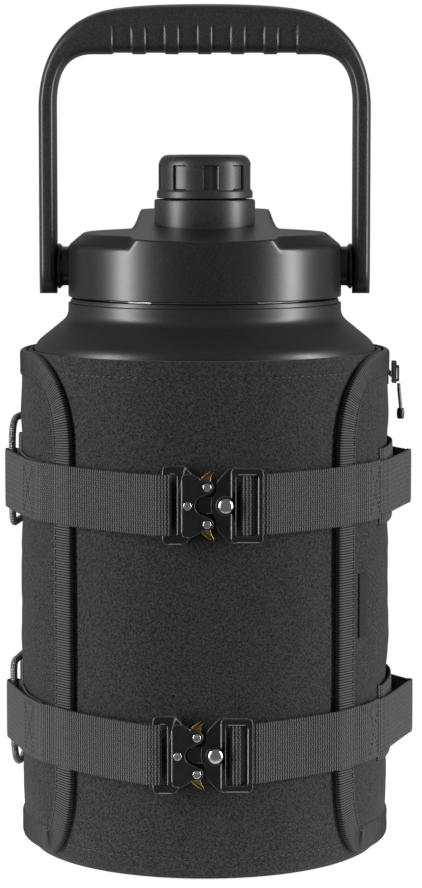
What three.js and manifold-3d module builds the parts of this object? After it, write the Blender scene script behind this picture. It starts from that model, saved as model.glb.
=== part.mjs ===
// A one-gallon insulated water jug in a padded carrying sleeve.
// The sleeve stands on the ground with its axis on +Z, the front faces -Y, and all sizes are in millimetres.
// A steel vacuum bottle slides down into the sleeve. A screw lid with a bail handle closes its wide mouth,
// and a small screw cap closes the spout on the lid. Two webbing straps with metal side-release buckles
// go round the sleeve, over a pocket on each side.
import * as THREE from "three";
import { mergeVertices } from "three/addons/utils/BufferGeometryUtils.js";
import Module from "manifold-3d";

const wasm = await Module();
wasm.setup();

// ---------------------------------------------------------------- driving dimensions
const gap = 0.3; // between pieces that touch in the real object
const roundSteps = 36; // facets round the large turned pieces

// bottle
const bottleRadius = 76.5;
const bodyHeight = 219.8; // from the bottle's foot to where the shoulder starts
const shoulderHeight = 16.5;
const neckRadius = 61;
const neckHeight = 7.2;
const steelWall = 0.7;
const vacuumGap = 3.6; // between the outer shell and the inner liner
const mouthRadius = 52.4; // inside the neck
const footRadius = 5; // rounding at the bottle's foot

// sleeve
const sleeveBaseThickness = 2.8;
const sleeveClearance = 0.5; // between the bottle and the padded tube
const sleeveThickness = 2.2;
const sleeveRim = 1; // how far the tube reaches above the start of the shoulder
const pocketThickness = 2.1;
const pocketFrontAngle = 45.5; // from the front, where a pocket's straight edge runs
const pocketTopCorner = { angle: 24, height: 46 };
const pocketBottomCorner = { angle: 12, height: 44 };
const pocketFoot = 5; // lowest point of a pocket
const bindingWidth = 12;
const bindingThickness = 0.7;

// lid
const lidClearance = 0.8; // between the bottle's mouth and the lid's skirt
const lidRadius = neckRadius;
const skirtHeight = 22.5;
const lidChamfer = { run: 7.1, rise: 6 };
const lidCrown = 1.2; // rise from the chamfer to the foot of the bridge
const lidWall = 2.6;
const bridgeTopHalf = 29.5;
const bridgeFootHalf = 33.5;
const bridgeHeight = 4.4; // above the chamfer's top edge, at the middle of the lid
const bridgeSlope = 6.2; // degrees, the bridge falls towards the front
const bridgeFacet = { run: 9.5, drop: 3 }; // of the cut at the back end
const plugDepth = 16; // below the bottle's mouth
const plugWall = 3;
const plugClearance = 1.8; // between the plug's wall and the neck's inside, where the thread ridge runs
const threadDepth = 1;
const lidLead = 8; // rise of the lid's thread in one turn

// spout and cap
const spoutBore = 14;
const spoutWall = 2.4;
const collarRadius = 22.5;
const collarHeight = 13.3;
const spoutNeckHeight = 13.6; // above the collar
const spoutThread = 0.9;
const capRadius = 21.4;
const capGripRadius = 20.5;
const capHeight = 19.2;
const capLead = 5; // rise of the cap's thread in one turn
const capRecesses = 9;
const capRecessDepth = 1.2;
const capFirstRecess = 7.2; // degrees from the front
const sealThickness = 1.6;

// handle
const pivotHeight = 13.3; // above the skirt's lower edge
const bossRadius = 8.75;
const bossLength = 4.6;
const pinRadius = 4.8;
const pinHeadRadius = 7.4;
const pinHeadThickness = 1.6;
const armThickness = 7.8;
const armDepth = 24;
const handleRise = 115.9; // from the pivot to the top of the grip
const gripThickness = 22;
const handleBevel = 2;
const fingerGrooves = 6;
const fingerPitch = 14.6;
const fingerWidth = 9;
const fingerDepth = 0.7;
const fingerHeight = 13;

// webbing
const strapWidth = 26;
const strapThickness = 1.3;
const rearBandWidth = 34;
const upperStrapDrop = 60.7; // from the sleeve's top to the middle of the upper strap
const lowerStrapHeight = 55.9;
const slotAngle = 68; // where the rear band comes out through the right pocket
const slotWidth = 3;
const cordRadius = 1.6;
const cordClearance = 0.45; // between a cord ring and the webbing folded round it
const loopStandOut = { upper: 9.4, lower: 10.8 }; // of a side loop from the webbing's middle on the pocket

// buckle, in its own plane: u to the right, v up, w out from the sleeve
const buckleLift = 0.4; // from the sleeve's surface to the back of the buckle
const plateThickness = 1.5;
const leverGap = 2.6; // between the back plate and the cover
const coverThickness = 1.8;
const frameMargin = 3.4; // from the webbing's edge to the outside of the frame
const rivetRadius = 1.25;
const rivetHead = 1.83;
const studHead = 3.35;
const leverPivot = { u: -2.6, v: 7.9 };
const tongueThickness = 1.8;

// zip of the right pocket, in degrees round the sleeve from the front
const zip = { start: 88, end: 108, slider: 91.5, belowRim: 11, tapeWidth: 9, coilWidth: 2.8 };

// ---------------------------------------------------------------- levels and radii that follow
const bottleFoot = sleeveBaseThickness + 0.4;
const shoulderStart = bottleFoot + bodyHeight;
const neckStart = shoulderStart + shoulderHeight;
const mouthTop = neckStart + neckHeight;
const sleeveInner = bottleRadius + sleeveClearance;
const sleeveOuter = sleeveInner + sleeveThickness;
const sleeveTop = shoulderStart + sleeveRim;
const pocketInner = sleeveOuter + 2 * gap;
const pocketOuter = pocketInner + pocketThickness;
const pocketTop = sleeveTop - 0.5;
const bindingOuter = pocketOuter + 0.2 + bindingThickness;
const layerA = bindingOuter + gap + strapThickness / 2; // webbing that lies on a pocket
const layerB = layerA + strapThickness + gap; // a second layer on top of it
const lidBottom = mouthTop + lidClearance;
const skirtTop = lidBottom + skirtHeight;
const chamferTop = skirtTop + lidChamfer.rise;
const bridgeTop = chamferTop + bridgeHeight;
const spoutSeat = bridgeTop - 3.4; // floor of the collar's seat
const collarBottom = spoutSeat + gap;
const collarTop = collarBottom + collarHeight;
const spoutRim = collarTop + spoutNeckHeight;
const capBottom = collarTop + 0.5;
const pivotZ = lidBottom + pivotHeight;
const armInner = lidRadius + bossLength + gap;
const plugRadius = mouthRadius - plugClearance;
const spoutOuter = spoutBore + spoutWall;
const zipHeight = pocketTop - zip.belowRim;
// Both straps climb a little towards the sides, by rise, and each buckle is a little off the middle.
const upperLevel = sleeveTop - upperStrapDrop;
const upperStrap = { height: upperLevel, rise: 3, buckleX: 3.7, ringTop: 26, ringBottom: -21 };
const lowerStrap = { height: lowerStrapHeight, rise: 5.4, buckleX: -0.6, ringTop: 21, ringBottom: -27 };
const panelSurface = sleeveOuter + gap; // the plane that a buckle's w is counted from, at the front

// ---------------------------------------------------------------- shared tools
const rad = THREE.MathUtils.degToRad;

/** Point at a radius and an angle in degrees from the front, positive to the right. */
const polar = (radius, degrees) => [radius * Math.sin(rad(degrees)), -radius * Math.cos(rad(degrees))];

/** Points of an arc about a centre, from one angle to another in degrees. */
function arc(cx, cy, radius, from, to, steps) {
  return Array.from({ length: steps + 1 }, (_, i) => {
    const a = rad(from + ((to - from) * i) / steps);
    return [cx + radius * Math.cos(a), cy + radius * Math.sin(a)];
  });
}

/** Solid of revolution about +Z from [radius, height] points, which go up the outside and down the inside. */
function turned(profile, steps = roundSteps) {
  const points = profile.map(([r, z]) => new THREE.Vector2(r, z));
  return new THREE.LatheGeometry(points, steps).rotateX(Math.PI / 2);
}

/** Plate from an outline of [x, y] points, extruded along +Z. */
function plate(outline, depth, options = {}) {
  const shape = new THREE.Shape(outline.map(([x, y]) => new THREE.Vector2(x, y)));
  return new THREE.ExtrudeGeometry(shape, { depth, bevelEnabled: false, curveSegments: 8, ...options });
}

/** Rectangle with its corners cut by a radius. */
function roundedRectangle(x0, y0, x1, y1, r, steps = 3) {
  return [
    ...arc(x1 - r, y1 - r, r, 0, 90, steps),
    ...arc(x0 + r, y1 - r, r, 90, 180, steps),
    ...arc(x0 + r, y0 + r, r, 180, 270, steps),
    ...arc(x1 - r, y0 + r, r, 270, 360, steps),
  ];
}

/** Box from its lowest to its highest corner. */
function block(low, high) {
  const size = high.map((h, i) => h - low[i]);
  return new THREE.BoxGeometry(...size).translate(...low.map((l, i) => l + size[i] / 2));
}

/** Cylinder along +Z between two heights, or along +X when asked. */
function rod(radius, from, to, steps = 24, alongX = false) {
  const made = new THREE.CylinderGeometry(radius, radius, to - from, steps);
  made.rotateX(Math.PI / 2).translate(0, 0, (from + to) / 2);
  return alongX ? made.rotateY(Math.PI / 2) : made;
}

/** Closed manifold-3d solid of a geometry. */
function solid(geometry) {
  const bare = geometry.clone();
  bare.deleteAttribute("normal");
  bare.deleteAttribute("uv");
  const merged = mergeVertices(bare, 1e-4);
  const vertProperties = new Float32Array(merged.attributes.position.array);
  const triVerts = new Uint32Array(merged.index.array);
  return new wasm.Manifold(new wasm.Mesh({ numProp: 3, vertProperties, triVerts }));
}

/** Geometry of a manifold-3d solid. */
function geometryOf(body) {
  const mesh = body.getMesh();
  const made = new THREE.BufferGeometry();
  made.setAttribute("position", new THREE.BufferAttribute(mesh.vertProperties, 3));
  made.setIndex(new THREE.BufferAttribute(mesh.triVerts, 1));
  return made;
}

/** One geometry from a base, pieces joined to it and pieces cut out of it. */
function combine(base, joined = [], cut = []) {
  const whole = joined.reduce((body, piece) => body.add(solid(piece)), solid(base));
  return geometryOf(cut.reduce((body, piece) => body.subtract(solid(piece)), whole));
}

/** Round bar along a curve. */
function tube(path, radius, steps, sides = 8) {
  const corners = arc(0, 0, radius, 0, 360, sides).slice(1);
  const section = new THREE.Shape(corners.map(([x, y]) => new THREE.Vector2(x, y)));
  return new THREE.ExtrudeGeometry(section, { steps, extrudePath: path });
}

/** Helix about an axis along +Z, or about +X when asked. */
class Helix extends THREE.Curve {
  constructor(radius, lead, turns, start, alongX = false) {
    super();
    Object.assign(this, { radius, lead, turns, start, alongX });
  }

  getPoint(t, target = new THREE.Vector3()) {
    const a = 2 * Math.PI * this.turns * t;
    const [x, y] = [this.radius * Math.cos(a), this.radius * Math.sin(a)];
    const along = this.start + this.lead * this.turns * t;
    return this.alongX ? target.set(along, x, y) : target.set(x, y, along);
  }
}

/** Rounded thread ridge that stands out of a wall, to be joined to it. */
function threadRidge(wallRadius, depth, lead, turns, bottom, steps) {
  return tube(new Helix(wallRadius - 0.2, lead, turns, bottom), depth + 0.2, Math.round(turns * steps));
}

/**
 * Pad bent round the sleeve: a box in rows and columns, with a radius inside and one outside.
 * anglesAt gives the two edge angles at a height, and outerAt the outer radius at a share of the width.
 */
function bentPad(heights, columns, anglesAt, inner, outerAt) {
  const rows = heights.length - 1;
  const made = new THREE.BoxGeometry(1, 1, 1, columns, rows, 1);
  const position = made.attributes.position;
  for (let i = 0; i < position.count; i++) {
    const share = position.getX(i) + 0.5;
    const z = heights[Math.round((position.getY(i) + 0.5) * rows)];
    const [from, to] = anglesAt(z);
    const radius = position.getZ(i) > 0 ? outerAt(share) : inner;
    position.setXYZ(i, ...polar(radius, from + (to - from) * share), z);
  }
  return made;
}

const group = new THREE.Group();

/** Adds a named piece with its colour and finish to a parent group. */
function add(parent, name, geometry, [color, roughness, metalness]) {
  const mesh = new THREE.Mesh(geometry, new THREE.MeshStandardMaterial({ color, roughness, metalness }));
  mesh.name = name;
  parent.add(mesh);
  return mesh;
}

const finish = {
  powderCoat: [0x2b2b2c, 0.45, 0.3],
  steel: [0xb9babc, 0.3, 1],
  plastic: [0x242425, 0.5, 0],
  foam: [0xd9d8d2, 0.9, 0],
  silicone: [0x8e8f90, 0.7, 0],
  fabric: [0x2e2e2f, 0.95, 0],
  webbing: [0x343435, 0.9, 0],
  anodised: [0x121213, 0.35, 0.8],
  brass: [0x9a7433, 0.35, 1],
  cord: [0x2a2a2a, 0.85, 0],
  label: [0x161617, 0.8, 0],
};

// ---------------------------------------------------------------- bottle
function shoulderCurve(inset, drop) {
  const outer = bottleRadius - inset;
  const neck = neckRadius - inset;
  const start = shoulderStart - drop;
  const end = neckStart - drop;
  return [
    [outer, start],
    [outer - 0.6, start + 2.6],
    [outer - 2.6, start + 5.2],
    [neck + 3.2, end - 3.4],
    [neck + 0.8, end - 1.2],
    [neck, end + 0.8],
  ];
}

function outerShell() {
  const foot = arc(bottleRadius - footRadius, bottleFoot + footRadius, footRadius, -90, 0, 3);
  const innerFoot = footRadius - steelWall;
  const inside = arc(bottleRadius - footRadius, bottleFoot + footRadius, innerFoot, 0, -90, 3);
  const lip = mouthRadius + steelWall + gap;
  return turned([
    ...foot,
    ...shoulderCurve(0, 0),
    [neckRadius, mouthTop - 1],
    [neckRadius - 0.8, mouthTop],
    [lip, mouthTop],
    [lip, mouthTop - steelWall],
    [neckRadius - steelWall - 0.4, mouthTop - steelWall],
    ...shoulderCurve(steelWall, 0.4).reverse(),
    ...inside,
    foot[0],
  ]);
}

const linerInset = vacuumGap + steelWall;
const linerBottom = bottleFoot + 4.8;
const linerShoulder = shoulderStart - 8;

function innerLiner() {
  const outer = bottleRadius - linerInset;
  const neck = mouthRadius + steelWall;
  const wall = (inset) => [
    [outer - 6 - inset, linerBottom + inset],
    [outer - 1.5 - inset, linerBottom + 1.8],
    [outer - inset, linerBottom + 6],
    [outer - inset, linerShoulder - inset],
    [outer - 3 - inset, linerShoulder + 6 - inset],
    [neck + 3 - inset, neckStart - 8 - inset],
    [neck - inset, neckStart - 4 - inset],
    [neck - inset, mouthTop + 0.4],
  ];
  const inside = wall(steelWall).reverse();
  return turned([[0, linerBottom], ...wall(0), ...inside, [0, linerBottom + steelWall]], 28);
}

function basePlate() {
  const rim = bottleRadius - footRadius - 0.4;
  const dish = 1.6;
  return turned([
    [0, bottleFoot + dish],
    [rim - 14, bottleFoot + dish],
    [rim - 10, bottleFoot],
    [rim, bottleFoot],
    [rim, bottleFoot + steelWall],
    [rim - 9.6, bottleFoot + steelWall],
    [rim - 13.6, bottleFoot + dish + steelWall],
    [0, bottleFoot + dish + steelWall],
  ]);
}

const bottle = new THREE.Group();
group.add(bottle);
add(bottle, "outer_shell", outerShell(), finish.powderCoat);
add(bottle, "inner_liner", innerLiner(), finish.steel);
add(bottle, "base_plate", basePlate(), finish.steel);
const getterBottom = bottleFoot + 1.6 + steelWall + gap;
add(bottle, "vacuum_getter", rod(6, getterBottom, linerBottom - gap, 16), finish.steel);

// ---------------------------------------------------------------- lid
function lidShell() {
  const crown = chamferTop + lidCrown;
  const base = turned([
    [0, lidBottom],
    [lidRadius - 0.8, lidBottom],
    [lidRadius, lidBottom + 0.8],
    [lidRadius, skirtTop],
    [lidRadius - lidChamfer.run, chamferTop],
    [bridgeFootHalf, crown],
    [0, crown],
  ]);
  const flank = (bridgeFootHalf - bridgeTopHalf) / 2;
  const ridge = plate(
    [
      [-bridgeFootHalf, lidBottom],
      [bridgeFootHalf, lidBottom],
      [bridgeFootHalf - 0.8, crown],
      [bridgeTopHalf + flank - 0.4, bridgeTop - 2.6],
      [bridgeTopHalf, bridgeTop],
      [-bridgeTopHalf, bridgeTop],
      [-bridgeTopHalf - flank + 0.4, bridgeTop - 2.6],
      [-bridgeFootHalf + 0.8, crown],
    ],
    2 * lidRadius + 20,
  );
  ridge.rotateX(Math.PI / 2).translate(0, lidRadius + 10, -bridgeTop);
  ridge.rotateX(rad(bridgeSlope)).translate(0, 0, bridgeTop);
  const facetBottom = bridgeTop - bridgeFacet.drop;
  const limit = turned([
    [0, lidBottom + 4],
    [lidRadius, lidBottom + 4],
    [lidRadius, facetBottom],
    [lidRadius - bridgeFacet.run, bridgeTop + 6],
    [0, bridgeTop + 6],
  ]);
  const bridge = geometryOf(solid(ridge).intersect(solid(limit)));
  // The bridge is cut down through the crown where it falls towards the front rim.
  const above = block([-bridgeTopHalf, -lidRadius - 10, 0], [bridgeTopHalf, 0, 20]);
  above.rotateX(rad(bridgeSlope)).translate(0, 0, bridgeTop);
  const bossEnd = lidRadius + bossLength;
  const bosses = [
    [bossRadius, lidRadius - 4, bossEnd],
    [bossRadius, -bossEnd, 4 - lidRadius],
    [bossRadius + 1.3, bossEnd - 1.2, bossEnd],
    [bossRadius + 1.3, -bossEnd, 1.2 - bossEnd],
  ].map(([radius, from, to]) => rod(radius, from, to, 24, true).translate(0, 0, pivotZ));
  const cavity = turned([
    [0, lidBottom - 1],
    [lidRadius - lidWall, lidBottom - 1],
    [lidRadius - lidWall, skirtTop - lidWall],
    [lidRadius - lidChamfer.run - lidWall, chamferTop - lidWall],
    [0, chamferTop - lidWall],
  ]);
  return combine(
    base,
    [bridge, ...bosses],
    [
      cavity,
      above,
      rod(spoutOuter + 0.4, lidBottom, bridgeTop + 10),
      rod(collarRadius + 0.4, spoutSeat, bridgeTop + 10, 36),
      rod(pinRadius + 0.4, -lidRadius - 20, lidRadius + 20, 20, true).translate(0, 0, pivotZ),
    ],
  );
}

const plugFlange = lidBottom + gap + sealThickness + 0.3;
const plugBottom = mouthTop - plugDepth;

function lidPlug() {
  const flange = lidRadius - lidWall - 0.5;
  const hole = spoutOuter + 0.3;
  const cup = turned([
    [hole, plugBottom],
    [plugRadius - 1.5, plugBottom],
    [plugRadius, plugBottom + 1.5],
    [plugRadius, plugFlange],
    [flange, plugFlange],
    [flange, plugFlange + 2.4],
    [plugRadius - plugWall, plugFlange + 2.4],
    [plugRadius - plugWall, plugBottom + 2.2],
    [hole, plugBottom + 2.2],
    [hole, plugBottom],
  ]);
  const ridge = threadRidge(plugRadius, threadDepth, lidLead, 1.2, plugBottom + 3.2, 20);
  return combine(cup, [ridge]);
}

function lidFoam() {
  const top = chamferTop - lidWall - 0.6;
  const outer = plugRadius - plugWall - 0.4;
  return turned([
    [spoutOuter + 0.8, plugBottom + 2.6],
    [outer, plugBottom + 2.6],
    [outer, top - 6],
    [outer - 4, top],
    [spoutOuter + 0.8, top],
    [spoutOuter + 0.8, plugBottom + 2.6],
  ]);
}

function spoutNeck() {
  const neck = spoutOuter + 1;
  const body = turned(
    [
      [spoutBore, plugBottom - 1.5],
      [spoutOuter, plugBottom - 1.5],
      [spoutOuter, collarBottom],
      [collarRadius - 0.4, collarBottom],
      [collarRadius, collarBottom + 0.4],
      [collarRadius, collarTop - 0.8],
      [collarRadius - 0.8, collarTop],
      [neck, collarTop],
      [neck, spoutRim - 0.8],
      [neck - 0.8, spoutRim],
      [spoutBore, spoutRim],
      [spoutBore, plugBottom - 1.5],
    ],
    28,
  );
  return combine(body, [threadRidge(neck, spoutThread, capLead, 1.5, collarTop + 2.6, 12)]);
}

const lid = new THREE.Group();
group.add(lid);
add(lid, "lid_shell", lidShell(), finish.plastic);
add(lid, "lid_plug", lidPlug(), finish.plastic);
add(lid, "lid_foam", lidFoam(), finish.foam);
add(lid, "spout_neck", spoutNeck(), finish.plastic);
const gasketInner = mouthRadius + 0.4;
const gasketOuter = lidRadius - lidWall - 0.5;
const gasketBottom = mouthTop + 0.4 + gap;
add(
  lid,
  "lid_gasket",
  turned([
    [gasketInner, gasketBottom],
    [gasketOuter, gasketBottom],
    [gasketOuter, plugFlange - gap],
    [gasketInner, plugFlange - gap],
    [gasketInner, gasketBottom],
  ]),
  finish.silicone,
);

// ---------------------------------------------------------------- spout cap
function spoutCap() {
  const inner = spoutOuter + 1 + spoutThread + 0.4;
  const top = capBottom + capHeight;
  const recessTop = top - 4.2;
  const body = turned(
    [
      [inner, capBottom],
      [capRadius, capBottom],
      [capRadius, capBottom + 3.2],
      [capGripRadius, capBottom + 4],
      ...arc(capGripRadius - 5.2, top - 5.2, 5.2, 0, 80, 4),
      [capGripRadius - 6.4, top - 0.7],
      [0, top - 1],
      [0, spoutRim + sealThickness + gap],
      [inner, spoutRim + sealThickness + gap],
      [inner, capBottom],
    ],
    45,
  );
  const width = 2 * capGripRadius * Math.sin(rad(9.4));
  const recesses = Array.from({ length: capRecesses }, (_, i) => {
    const low = [-width / 2, -capGripRadius - 4, capBottom + 3.6];
    const cutter = block(low, [width / 2, -capGripRadius + capRecessDepth, recessTop]);
    return cutter.rotateZ(rad(capFirstRecess + (360 / capRecesses) * i));
  });
  return combine(body, [], recesses);
}

const cap = new THREE.Group();
group.add(cap);
add(cap, "spout_cap", spoutCap(), finish.plastic);
const capSealTop = spoutRim + gap / 2 + sealThickness;
add(cap, "cap_gasket", rod(spoutOuter + 1, spoutRim + gap, capSealTop, 24), finish.silicone);

// ---------------------------------------------------------------- handle
const armOuter = armInner + armThickness;
const handleTop = pivotZ + handleRise;
const gripBottom = handleTop - gripThickness;
const armFoot = pivotZ - armDepth / 2 - 0.4;

function handleOutline() {
  const shape = new THREE.Shape();
  const cornerZ = gripBottom - 24;
  shape.moveTo(-armOuter, armFoot);
  shape.lineTo(-armOuter, cornerZ);
  const shoulderX = 0.6 * armOuter;
  shape.bezierCurveTo(-armOuter, cornerZ + 19, -armOuter + 8, handleTop - 8, -shoulderX, handleTop - 2.8);
  shape.bezierCurveTo(-0.45 * armOuter, handleTop - 0.4, -0.2 * armOuter, handleTop, 0, handleTop);
  const crest = [0.45 * armOuter, handleTop - 0.4, shoulderX, handleTop - 2.8];
  shape.bezierCurveTo(0.2 * armOuter, handleTop, ...crest);
  shape.bezierCurveTo(armOuter - 8, handleTop - 8, armOuter, cornerZ + 19, armOuter, cornerZ);
  shape.lineTo(armOuter, armFoot);
  shape.lineTo(armInner, armFoot);
  shape.lineTo(armInner, cornerZ + 2);
  shape.bezierCurveTo(armInner, cornerZ + 15, armInner - 4, gripBottom, armInner - 16, gripBottom);
  shape.lineTo(-armInner + 16, gripBottom);
  shape.bezierCurveTo(-armInner + 4, gripBottom, -armInner, cornerZ + 15, -armInner, cornerZ + 2);
  shape.lineTo(-armInner, armFoot);
  return shape;
}

function handle() {
  const bar = new THREE.ExtrudeGeometry(handleOutline(), {
    depth: armDepth - 2 * handleBevel,
    curveSegments: 5,
    bevelThickness: handleBevel,
    bevelSize: handleBevel,
    bevelOffset: -handleBevel,
    bevelSegments: 2,
  });
  bar.rotateX(Math.PI / 2).translate(0, armDepth / 2 - handleBevel, 0);
  const eye = armDepth / 2 + 0.2;
  const profile = [[eye, handleTop + 1], [-eye, handleTop + 1], ...arc(0, pivotZ, eye, 180, 360, 12)];
  const sideways = plate(profile, 2 * armOuter + 2);
  // The outline's x becomes +Y and its y becomes +Z, so that it is extruded along X.
  sideways.rotateX(Math.PI / 2).rotateZ(Math.PI / 2).translate(-armOuter - 1, 0, 0);
  const body = solid(bar).intersect(solid(sideways));
  const first = (-fingerPitch * (fingerGrooves - 1)) / 2;
  const grooves = Array.from({ length: fingerGrooves }, (_, i) => {
    const x = first + i * fingerPitch;
    const half = fingerWidth / 2;
    const face = armDepth / 2;
    const top = gripBottom + fingerHeight;
    const whole = solid(block([x - half, -face - 2, gripBottom - 2], [x + half, face + 2, top]));
    const core = block(
      [x - half - 1, -face + fingerDepth, gripBottom + fingerDepth],
      [x + half + 1, face - fingerDepth, top + 1],
    );
    return whole.subtract(solid(core));
  });
  const counterbore = armOuter - pinHeadThickness - 0.4;
  const cuts = [
    rod(pinRadius + 0.35, -armOuter - 2, armOuter + 2, 20, true),
    rod(pinHeadRadius + 0.4, counterbore, armOuter + 2, 24, true),
    rod(pinHeadRadius + 0.4, -armOuter - 2, -counterbore, 24, true),
  ].map((cutter) => solid(cutter.translate(0, 0, pivotZ)));
  return geometryOf([...grooves, ...cuts].reduce((left, cutter) => left.subtract(cutter), body));
}

add(group, "handle", handle(), finish.plastic);

function pivotPin(side) {
  const headFrom = armOuter - pinHeadThickness - 0.1;
  const from = lidRadius - 1.5;
  const pin = turned(
    [
      [0, from],
      [pinRadius, from],
      [pinRadius, headFrom],
      [pinHeadRadius, headFrom],
      [pinHeadRadius, headFrom + pinHeadThickness - 0.5],
      [pinHeadRadius - 0.8, headFrom + pinHeadThickness - 0.1],
      [0, headFrom + pinHeadThickness - 0.1],
    ],
    20,
  );
  return pin.rotateY((side * Math.PI) / 2).translate(0, 0, pivotZ);
}
add(lid, "pivot_pin_left", pivotPin(-1), finish.plastic);
add(lid, "pivot_pin_right", pivotPin(1), finish.plastic);

// ---------------------------------------------------------------- sleeve
function sleeveTube() {
  return turned([
    [sleeveInner, 0.8],
    [sleeveOuter - 1.2, 0.8],
    [sleeveOuter, 2.4],
    [sleeveOuter, sleeveTop - 1],
    [sleeveOuter - 0.8, sleeveTop],
    [sleeveInner, sleeveTop],
    [sleeveInner, 0.8],
  ]);
}

function sleeveBase() {
  const edge = sleeveInner - gap;
  return turned([
    [0, 0],
    [edge - 1, 0],
    [edge, 1],
    [edge, sleeveBaseThickness],
    [0, sleeveBaseThickness],
  ]);
}

/** Angle of a pocket's front edge at a height: straight, with a large round corner at each end. */
function pocketEdge(z) {
  const top = (z - (pocketTop - pocketTopCorner.height)) / pocketTopCorner.height;
  const bottom = (pocketFoot + pocketBottomCorner.height - z) / pocketBottomCorner.height;
  const bend = (t) => (t <= 0 ? 0 : 1 - (1 - Math.min(1, t) ** 2.6) ** (1 / 2.2));
  return pocketFrontAngle + pocketTopCorner.angle * bend(top) + pocketBottomCorner.angle * bend(bottom);
}

/** Heights from a pocket's foot to its top, closer together in the corners. */
function pocketHeights() {
  const levels = [0, 0.01, 0.035, 0.08, 0.16, 0.33, 0.5, 0.67, 0.82, 0.9, 0.95, 0.985, 1];
  return levels.map((t) => pocketFoot + t * (pocketTop - pocketFoot));
}

function pocket(side) {
  const angles = (z) => {
    const edge = pocketEdge(z);
    return side > 0 ? [edge, 180 - edge] : [-180 + edge, -edge];
  };
  const crowned = (t) => pocketOuter - 0.7 * Math.abs(2 * t - 1) ** 6;
  return bentPad(pocketHeights(), 12, angles, pocketInner, crowned);
}

/** Height that the webbing gains towards the sides, at an angle from the front. */
const strapRise = (strap, x, y) => strap.rise * Math.min(1, 1 + y / Math.hypot(x, y));

/** The right pocket has an upright slot behind each strap, for the rear band to come out of. */
function slottedPocket() {
  const slots = [upperStrap, lowerStrap].map((strap) => {
    const centre = strap.height + strapRise(strap, ...polar(1, slotAngle));
    const half = rearBandWidth / 2 + 1.2;
    const low = [-slotWidth / 2, -pocketOuter - 3, centre - half];
    return block(low, [slotWidth / 2, -pocketInner + 1, centre + half]).rotateZ(rad(slotAngle));
  });
  return combine(pocket(1), [], slots);
}

/** Ribbed tape along a pocket's front or back edge, from corner to corner. */
function bindingStrip(side, back) {
  const inner = bindingOuter - bindingThickness;
  const heights = pocketHeights().slice(1, -1);
  const widthAngle = THREE.MathUtils.radToDeg(bindingWidth / bindingOuter);
  const angles = (z) => {
    const edge = pocketEdge(z);
    const from = back ? 180 - edge - widthAngle : edge;
    return side > 0 ? [from, from + widthAngle] : [-from - widthAngle, -from];
  };
  return bentPad(heights, 3, angles, inner, () => bindingOuter);
}

const sleeve = new THREE.Group();
group.add(sleeve);
add(sleeve, "sleeve_tube", sleeveTube(), finish.fabric);
add(sleeve, "sleeve_base", sleeveBase(), finish.fabric);
add(sleeve, "pocket_left", pocket(-1), finish.fabric);
add(sleeve, "pocket_right", slottedPocket(), finish.fabric);
add(sleeve, "binding_left_front", bindingStrip(-1, false), finish.webbing);
add(sleeve, "binding_left_back", bindingStrip(-1, true), finish.webbing);
add(sleeve, "binding_right_front", bindingStrip(1, false), finish.webbing);
add(sleeve, "binding_right_back", bindingStrip(1, true), finish.webbing);

const labelAngle = pocketFrontAngle + THREE.MathUtils.radToDeg(bindingWidth / bindingOuter) + 1;
const labelBottom = (upperStrap.height + lowerStrap.height) / 2 - 9.6;
add(
  sleeve,
  "label_tag",
  bentPad(
    [labelBottom, labelBottom + 15, labelBottom + 29],
    2,
    () => [labelAngle, labelAngle + 5],
    pocketOuter + 0.2,
    () => pocketOuter + 0.9,
  ),
  finish.label,
);

// ---------------------------------------------------------------- zip of the right pocket
function zipBand(width, inner, outer, from, to, columns) {
  const heights = [zipHeight - width / 2, zipHeight + width / 2];
  return bentPad(heights, columns, () => [from, to], inner, () => outer);
}

const zipTapeOuter = pocketOuter + 0.6;
const zipCoilOuter = zipTapeOuter + gap + 1.1;
const sliderInner = zipCoilOuter + gap;
const sliderOuter = sliderInner + 1.8;
add(
  sleeve,
  "zipper_tape",
  zipBand(zip.tapeWidth, pocketOuter + 0.1, zipTapeOuter, zip.start, zip.end, 8),
  finish.webbing,
);
add(
  sleeve,
  "zipper_coil",
  zipBand(zip.coilWidth, zipTapeOuter + gap, zipCoilOuter, zip.start + 0.5, zip.end - 0.5, 10),
  finish.plastic,
);

function zipperSlider() {
  const half = 4.2;
  const right = [[half - 1.2, -half], [half, half], [half - 1.6, half + 1.4]];
  const left = right.map(([x, y]) => [-x, y]).reverse();
  const top = plate([...right, ...left], sliderOuter - sliderInner);
  const bridge = block([-1, -half + 0.6, 0.6], [1, half - 0.6, 3.2]);
  const eye = block([-2, -half + 1.6, 1.9], [2, half - 1.8, 2.4]);
  const made = combine(top, [bridge], [eye]);
  return made;
}

const sliderAt = (radius, height = 0) => [...polar(radius, zip.slider), zipHeight + height];
const slider = new THREE.Group();
slider.add(add(slider, "zipper_slider", zipperSlider().rotateX(Math.PI / 2), finish.anodised));
slider.rotation.z = rad(zip.slider);
slider.position.set(...sliderAt(sliderInner));
group.add(slider);

/** The pull is a doubled cord that hangs from the slider and leans away from the pocket. */
function pullCord() {
  const radius = sliderOuter + 2.9;
  const points = [[0, -4.4], [0.9, -8], [2.1, -13], [3.2, -17.5], [3.4, -20.5]];
  const places = points.map(([out, drop]) => new THREE.Vector3(...sliderAt(radius + out, drop)));
  return tube(new THREE.CatmullRomCurve3(places), cordRadius * 0.75, 6);
}
add(group, "zipper_pull_cord", pullCord(), finish.cord);

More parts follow.
